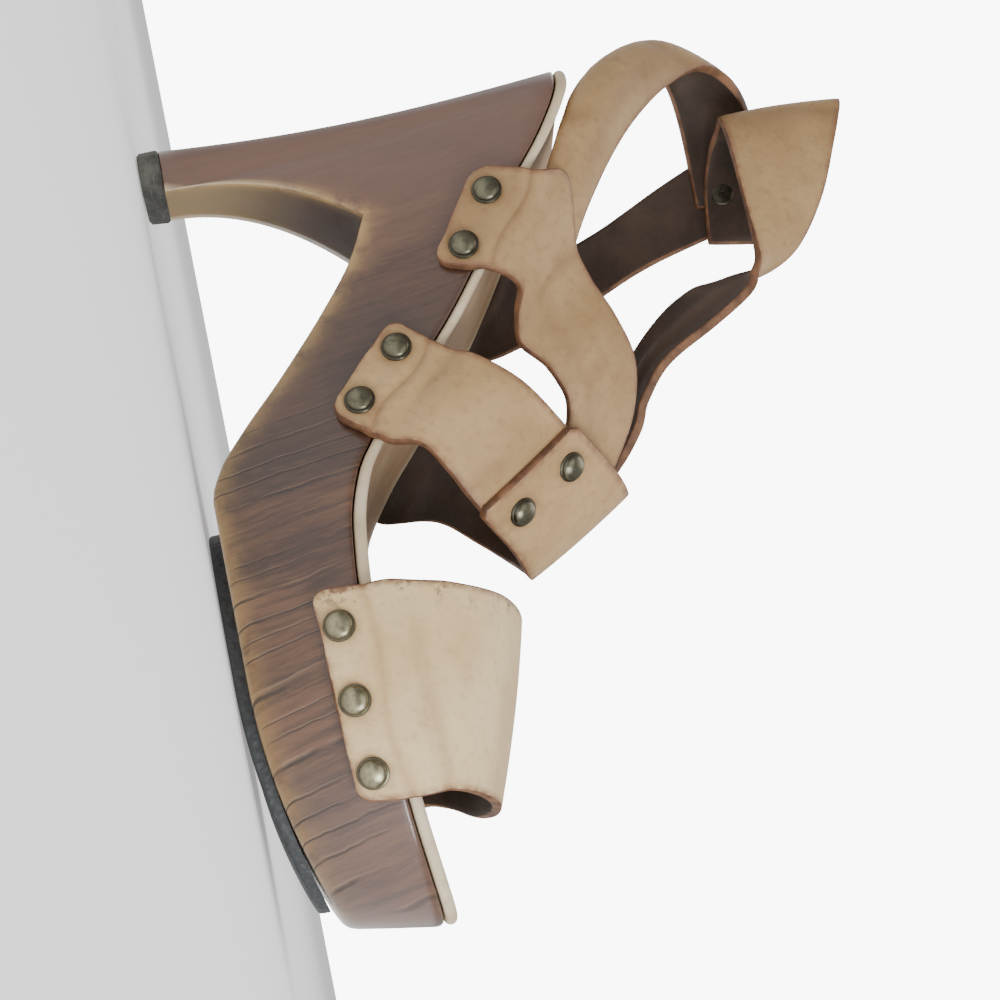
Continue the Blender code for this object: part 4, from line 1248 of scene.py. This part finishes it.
def strap_piece(name, rows, corners, seats):
    """A strap with a grain side, a burnished rim, a dark lining, creases and dents at its rivets."""
    last = len(rows) - 1
    places = np.linspace(0.0, last, last * FINE_STRAP + 1)
    count = len(rows[0]) - 1
    shares = np.arange(count + 1) / count
    grid = np.array([[strand(rows, j, at) for j in range(count + 1)] for at in places])
    steps = np.linalg.norm(np.diff(grid[:, count // 2], axis=0), axis=1)
    length = np.concatenate([[0.0], np.cumsum(steps)])
    for strip, corner in zip((grid, grid[::-1]), corners):
        if corner:
            round_off(strip, corner)
    creased, folds = crease_relief(name, grid, places, length, shares)
    dented, stain = rivet_relief(name, grid, seats)
    push = creased + dented + swell(name, places, length, shares, corners[0])
    grid = grid + grid_normals(grid) * GRAIN_SIDE[name] * push[:, :, None]
    normals = grid_normals(grid) * GRAIN_SIDE[name]
    rim, scuff = edge_marks(name, grid, length, shares)

    sections = [(0, thick, out) for thick, out in reversed(END_PROFILE)]
    sections += [(i, 1.0, 0.0) for i in range(len(grid))]
    sections += [(len(grid) - 1, thick, out) for thick, out in END_PROFILE]
    loops = [strap_section(grid, normals, *section) for section in sections]
    edge, ends = len(RIM_PROFILE), len(END_PROFILE)
    marks = {}
    for key, field, at_rim in (("rim", rim, 1.0), ("fold", folds, 0.0), ("stain", stain, 0.0),
                               ("scuff", scuff, 0.0)):
        marks[key] = []
        for i, thick, out in sections:
            values = list(field[i])
            marks[key] += values + [at_rim] * edge + values[::-1] + [at_rim] * edge
    ring = [0] * count + [1] * (edge + 1) + [2] * count + [1] * (edge + 1)
    kinds = []
    for i in range(len(loops) - 1):
        kinds += ring if ends <= i < len(loops) - 1 - ends else [1] * len(ring)
    node = "toe_strap" if name == "toe_strap" else "upper_straps"
    looks = [GRAIN_LOOK.get(name, "shaded_tan"), "edge", "lining"]
    make_piece(f"leather_{name}", loops, looks, [node], kinds, marks, 55.0)


# Rivets
RIVET_SINK = 0.25         # how far a head is pressed into the leather
# Columns: inset from the edge, rise, brightness
FLANGE = ((RIVET_RADIUS, 0.0, 0.0), (0.0, 0.0, 0.0), (0.0, 0.35, 0.1), (0.15, 0.55, 0.3), (0.45, 0.62, 0.15))
DOME_INSET = 0.55
DOME_FOOT = 0.66
# Columns: radius, rise, brightness
BACK = ((0.0, 0.0, 0.0), (3.2, 0.0, 0.0), (3.2, 0.4, 0.2), (2.8, 0.7, 0.5), (1.1, 0.75, 0.5),
        (0.9, 0.5, 0.2), (0.0, 0.5, 0.2))
BACK_SINK = 0.2           # how far a rivet's back is pressed into the lining

# Far face of a riveted joint, below the middle of its outer strap
JOINT_DEPTH = {
    "rivet_joint_1": 2.57,
    "rivet_joint_2": 2.64,
    "rivet_heel_lateral_1": 2.5,
    "rivet_heel_lateral_2": 4.16,
}


def turned(name, seat, normal, profile, look, nodes):
    """A round piece from a profile of radius and height, and how bright each ring is."""
    first = unit(np.cross(normal, (0.0, 0.0, 1.0)))
    second = np.cross(normal, first)
    turns = [2.0 * math.pi * i / FINE_RIVET for i in range(FINE_RIVET)]
    spokes = [first * math.cos(turn) + second * math.sin(turn) for turn in turns]
    loops, crown = [], []
    for radius, rise, bright in profile:
        loops.append([seat + spoke * radius + normal * rise for spoke in spokes])
        crown += [bright] * FINE_RIVET
    make_piece(name, loops, [look], nodes, None, {"crown": crown}, 35.0)


def head_profile():
    profile = [(RIVET_RADIUS - inset, rise, bright) for inset, rise, bright in FLANGE]
    radius, height = RIVET_RADIUS - DOME_INSET, RIVET_HEIGHT + RIVET_SINK - DOME_FOOT
    for i in range(FINE_DOME + 1):
        up = math.sin(0.5 * math.pi * i / FINE_DOME)
        out = math.cos(0.5 * math.pi * i / FINE_DOME)
        profile.append((radius * out, DOME_FOOT + height * up, 0.25 + 0.75 * up))
    return profile


def rivet_heads(seats):
    for name, _, seat, normal in seats:
        base = seat + normal * (GAP + 0.5 * STRAP_THICKNESS - RIVET_SINK)
        # Rivets other than the toe's, and the backs, take the darker brass copy: painted shade.
        look = "brass" if "toe" in name else "shade_painted_brass"
        turned(name + "_head", base, normal, head_profile(), look, [name])
        if name in JOINT_DEPTH:
            behind = seat - normal * (JOINT_DEPTH[name] - BACK_SINK)
            turned(name + "_back", behind, -normal, BACK, "shade_painted_brass", [])


# Floor, light and camera
FLOOR_REACH = 30.0
FLOOR_DROP = 0.0003       # clearance under the sole
MIDDLE = (0.0, 0.0, 0.08)
# Columns: name, place, aim, size, power, colour
LAMPS = (
    ("window", (0.56, -0.46, 0.24), (0.03, -0.02, 0.06), 0.30, 3.4, (0.92, 0.96, 1.0)),
    ("low", (0.50, -0.54, 0.12), (0.05, -0.03, 0.03), 0.14, 0.7, (0.84, 0.92, 1.0)),
    ("side", (0.20, -1.00, 0.75), MIDDLE, 0.8, 2.6, (1.0, 0.98, 0.95)),
    ("top", (-0.1, 0.25, 1.2), MIDDLE, 1.0, 7.0, (1.0, 1.0, 1.0)),
    ("back", (-0.75, 0.45, 0.55), MIDDLE, 0.6, 1.2, (1.0, 0.99, 0.97)),
)
AIR_LIGHT = 0.45          # light from all around
AIR_SEEN = 9.0            # brightness of the white backdrop
AZIMUTH = 14.0            # from the inner side towards the toe
EYE_DISTANCE = 0.548
EYE_HEIGHT = 0.010
AIM = (-0.021, -0.004, 0.078)
LENS = 74.0
ROLL = 79.0


def floor():
    mesh = bpy.data.meshes.new("floor")
    signs = ((-1, -1), (1, -1), (1, 1), (-1, 1))
    corners = [(x * FLOOR_REACH, y * FLOOR_REACH, -FLOOR_DROP) for x, y in signs]
    mesh.from_pydata(corners, [], [(0, 1, 2, 3)])
    look = Look("pale_floor")
    colour = look.mix(look.noise(3.0, 2.0), (0.86, 0.86, 0.855), (0.88, 0.88, 0.875))
    glow = {"Emission_Color": (1.0, 1.0, 1.0, 1.0), "Emission_Strength": 0.35}
    mesh.materials.append(look.finish(colour, 0.9, **glow))
    thing = new_object("floor", mesh)


def look_at(thing, place, aim, roll=0.0):
    turn = (Vector(aim) - Vector(place)).to_track_quat("-Z", "Y")
    thing.location = place
    thing.rotation_mode = "QUATERNION"
    thing.rotation_quaternion = turn @ Quaternion((0.0, 0.0, 1.0), math.radians(roll))


def lamp(name, place, aim, size, power, colour):
    data = bpy.data.lights.new(name, "AREA")
    data.shape = "SQUARE"
    data.size = size
    data.energy = power
    data.color = colour
    thing = new_object(name, data)
    look_at(thing, place, aim)
    thing.visible_camera = False


def lights():
    """A window low in front of the toe, softer light from the side and above, and a white surround."""
    for row in LAMPS:
        lamp(*row)
    world = bpy.data.worlds.new("studio")
    world.use_nodes = True
    tree = world.node_tree
    air = tree.nodes["Background"]
    air.inputs["Color"].default_value = (0.98, 0.985, 1.0, 1.0)
    seen = tree.nodes.new("ShaderNodeLightPath")
    level = tree.nodes.new("ShaderNodeMapRange")
    level.inputs["To Min"].default_value = AIR_LIGHT
    level.inputs["To Max"].default_value = AIR_SEEN
    tree.links.new(seen.outputs["Is Camera Ray"], level.inputs["Value"])
    tree.links.new(level.outputs["Result"], air.inputs["Strength"])
    bpy.context.scene.world = world


def camera():
    """Near the floor, a little to the front of the inner side, rolled so that the toe points down."""
    azimuth = math.radians(AZIMUTH)
    eye = Vector(AIM) + EYE_DISTANCE * Vector((math.sin(azimuth), -math.cos(azimuth), 0.0))
    eye.z = EYE_HEIGHT
    data = bpy.data.cameras.new("camera")
    data.lens = LENS
    data.sensor_width = 36.0
    data.clip_start = 0.01
    thing = new_object("camera", data)
    look_at(thing, eye, AIM, ROLL)
    bpy.context.scene.camera = thing


camera()
lights()
floor()
wood_sole()
leather_insole()
rubber_pad()
rubber_tip()
STRAPS = strap_table()
SEATS = rivet_seats(STRAPS)
for strap_name, (strap_rows, strap_corners) in STRAPS.items():
    strap_piece(strap_name, strap_rows, strap_corners, SEATS)
rivet_heads(SEATS)
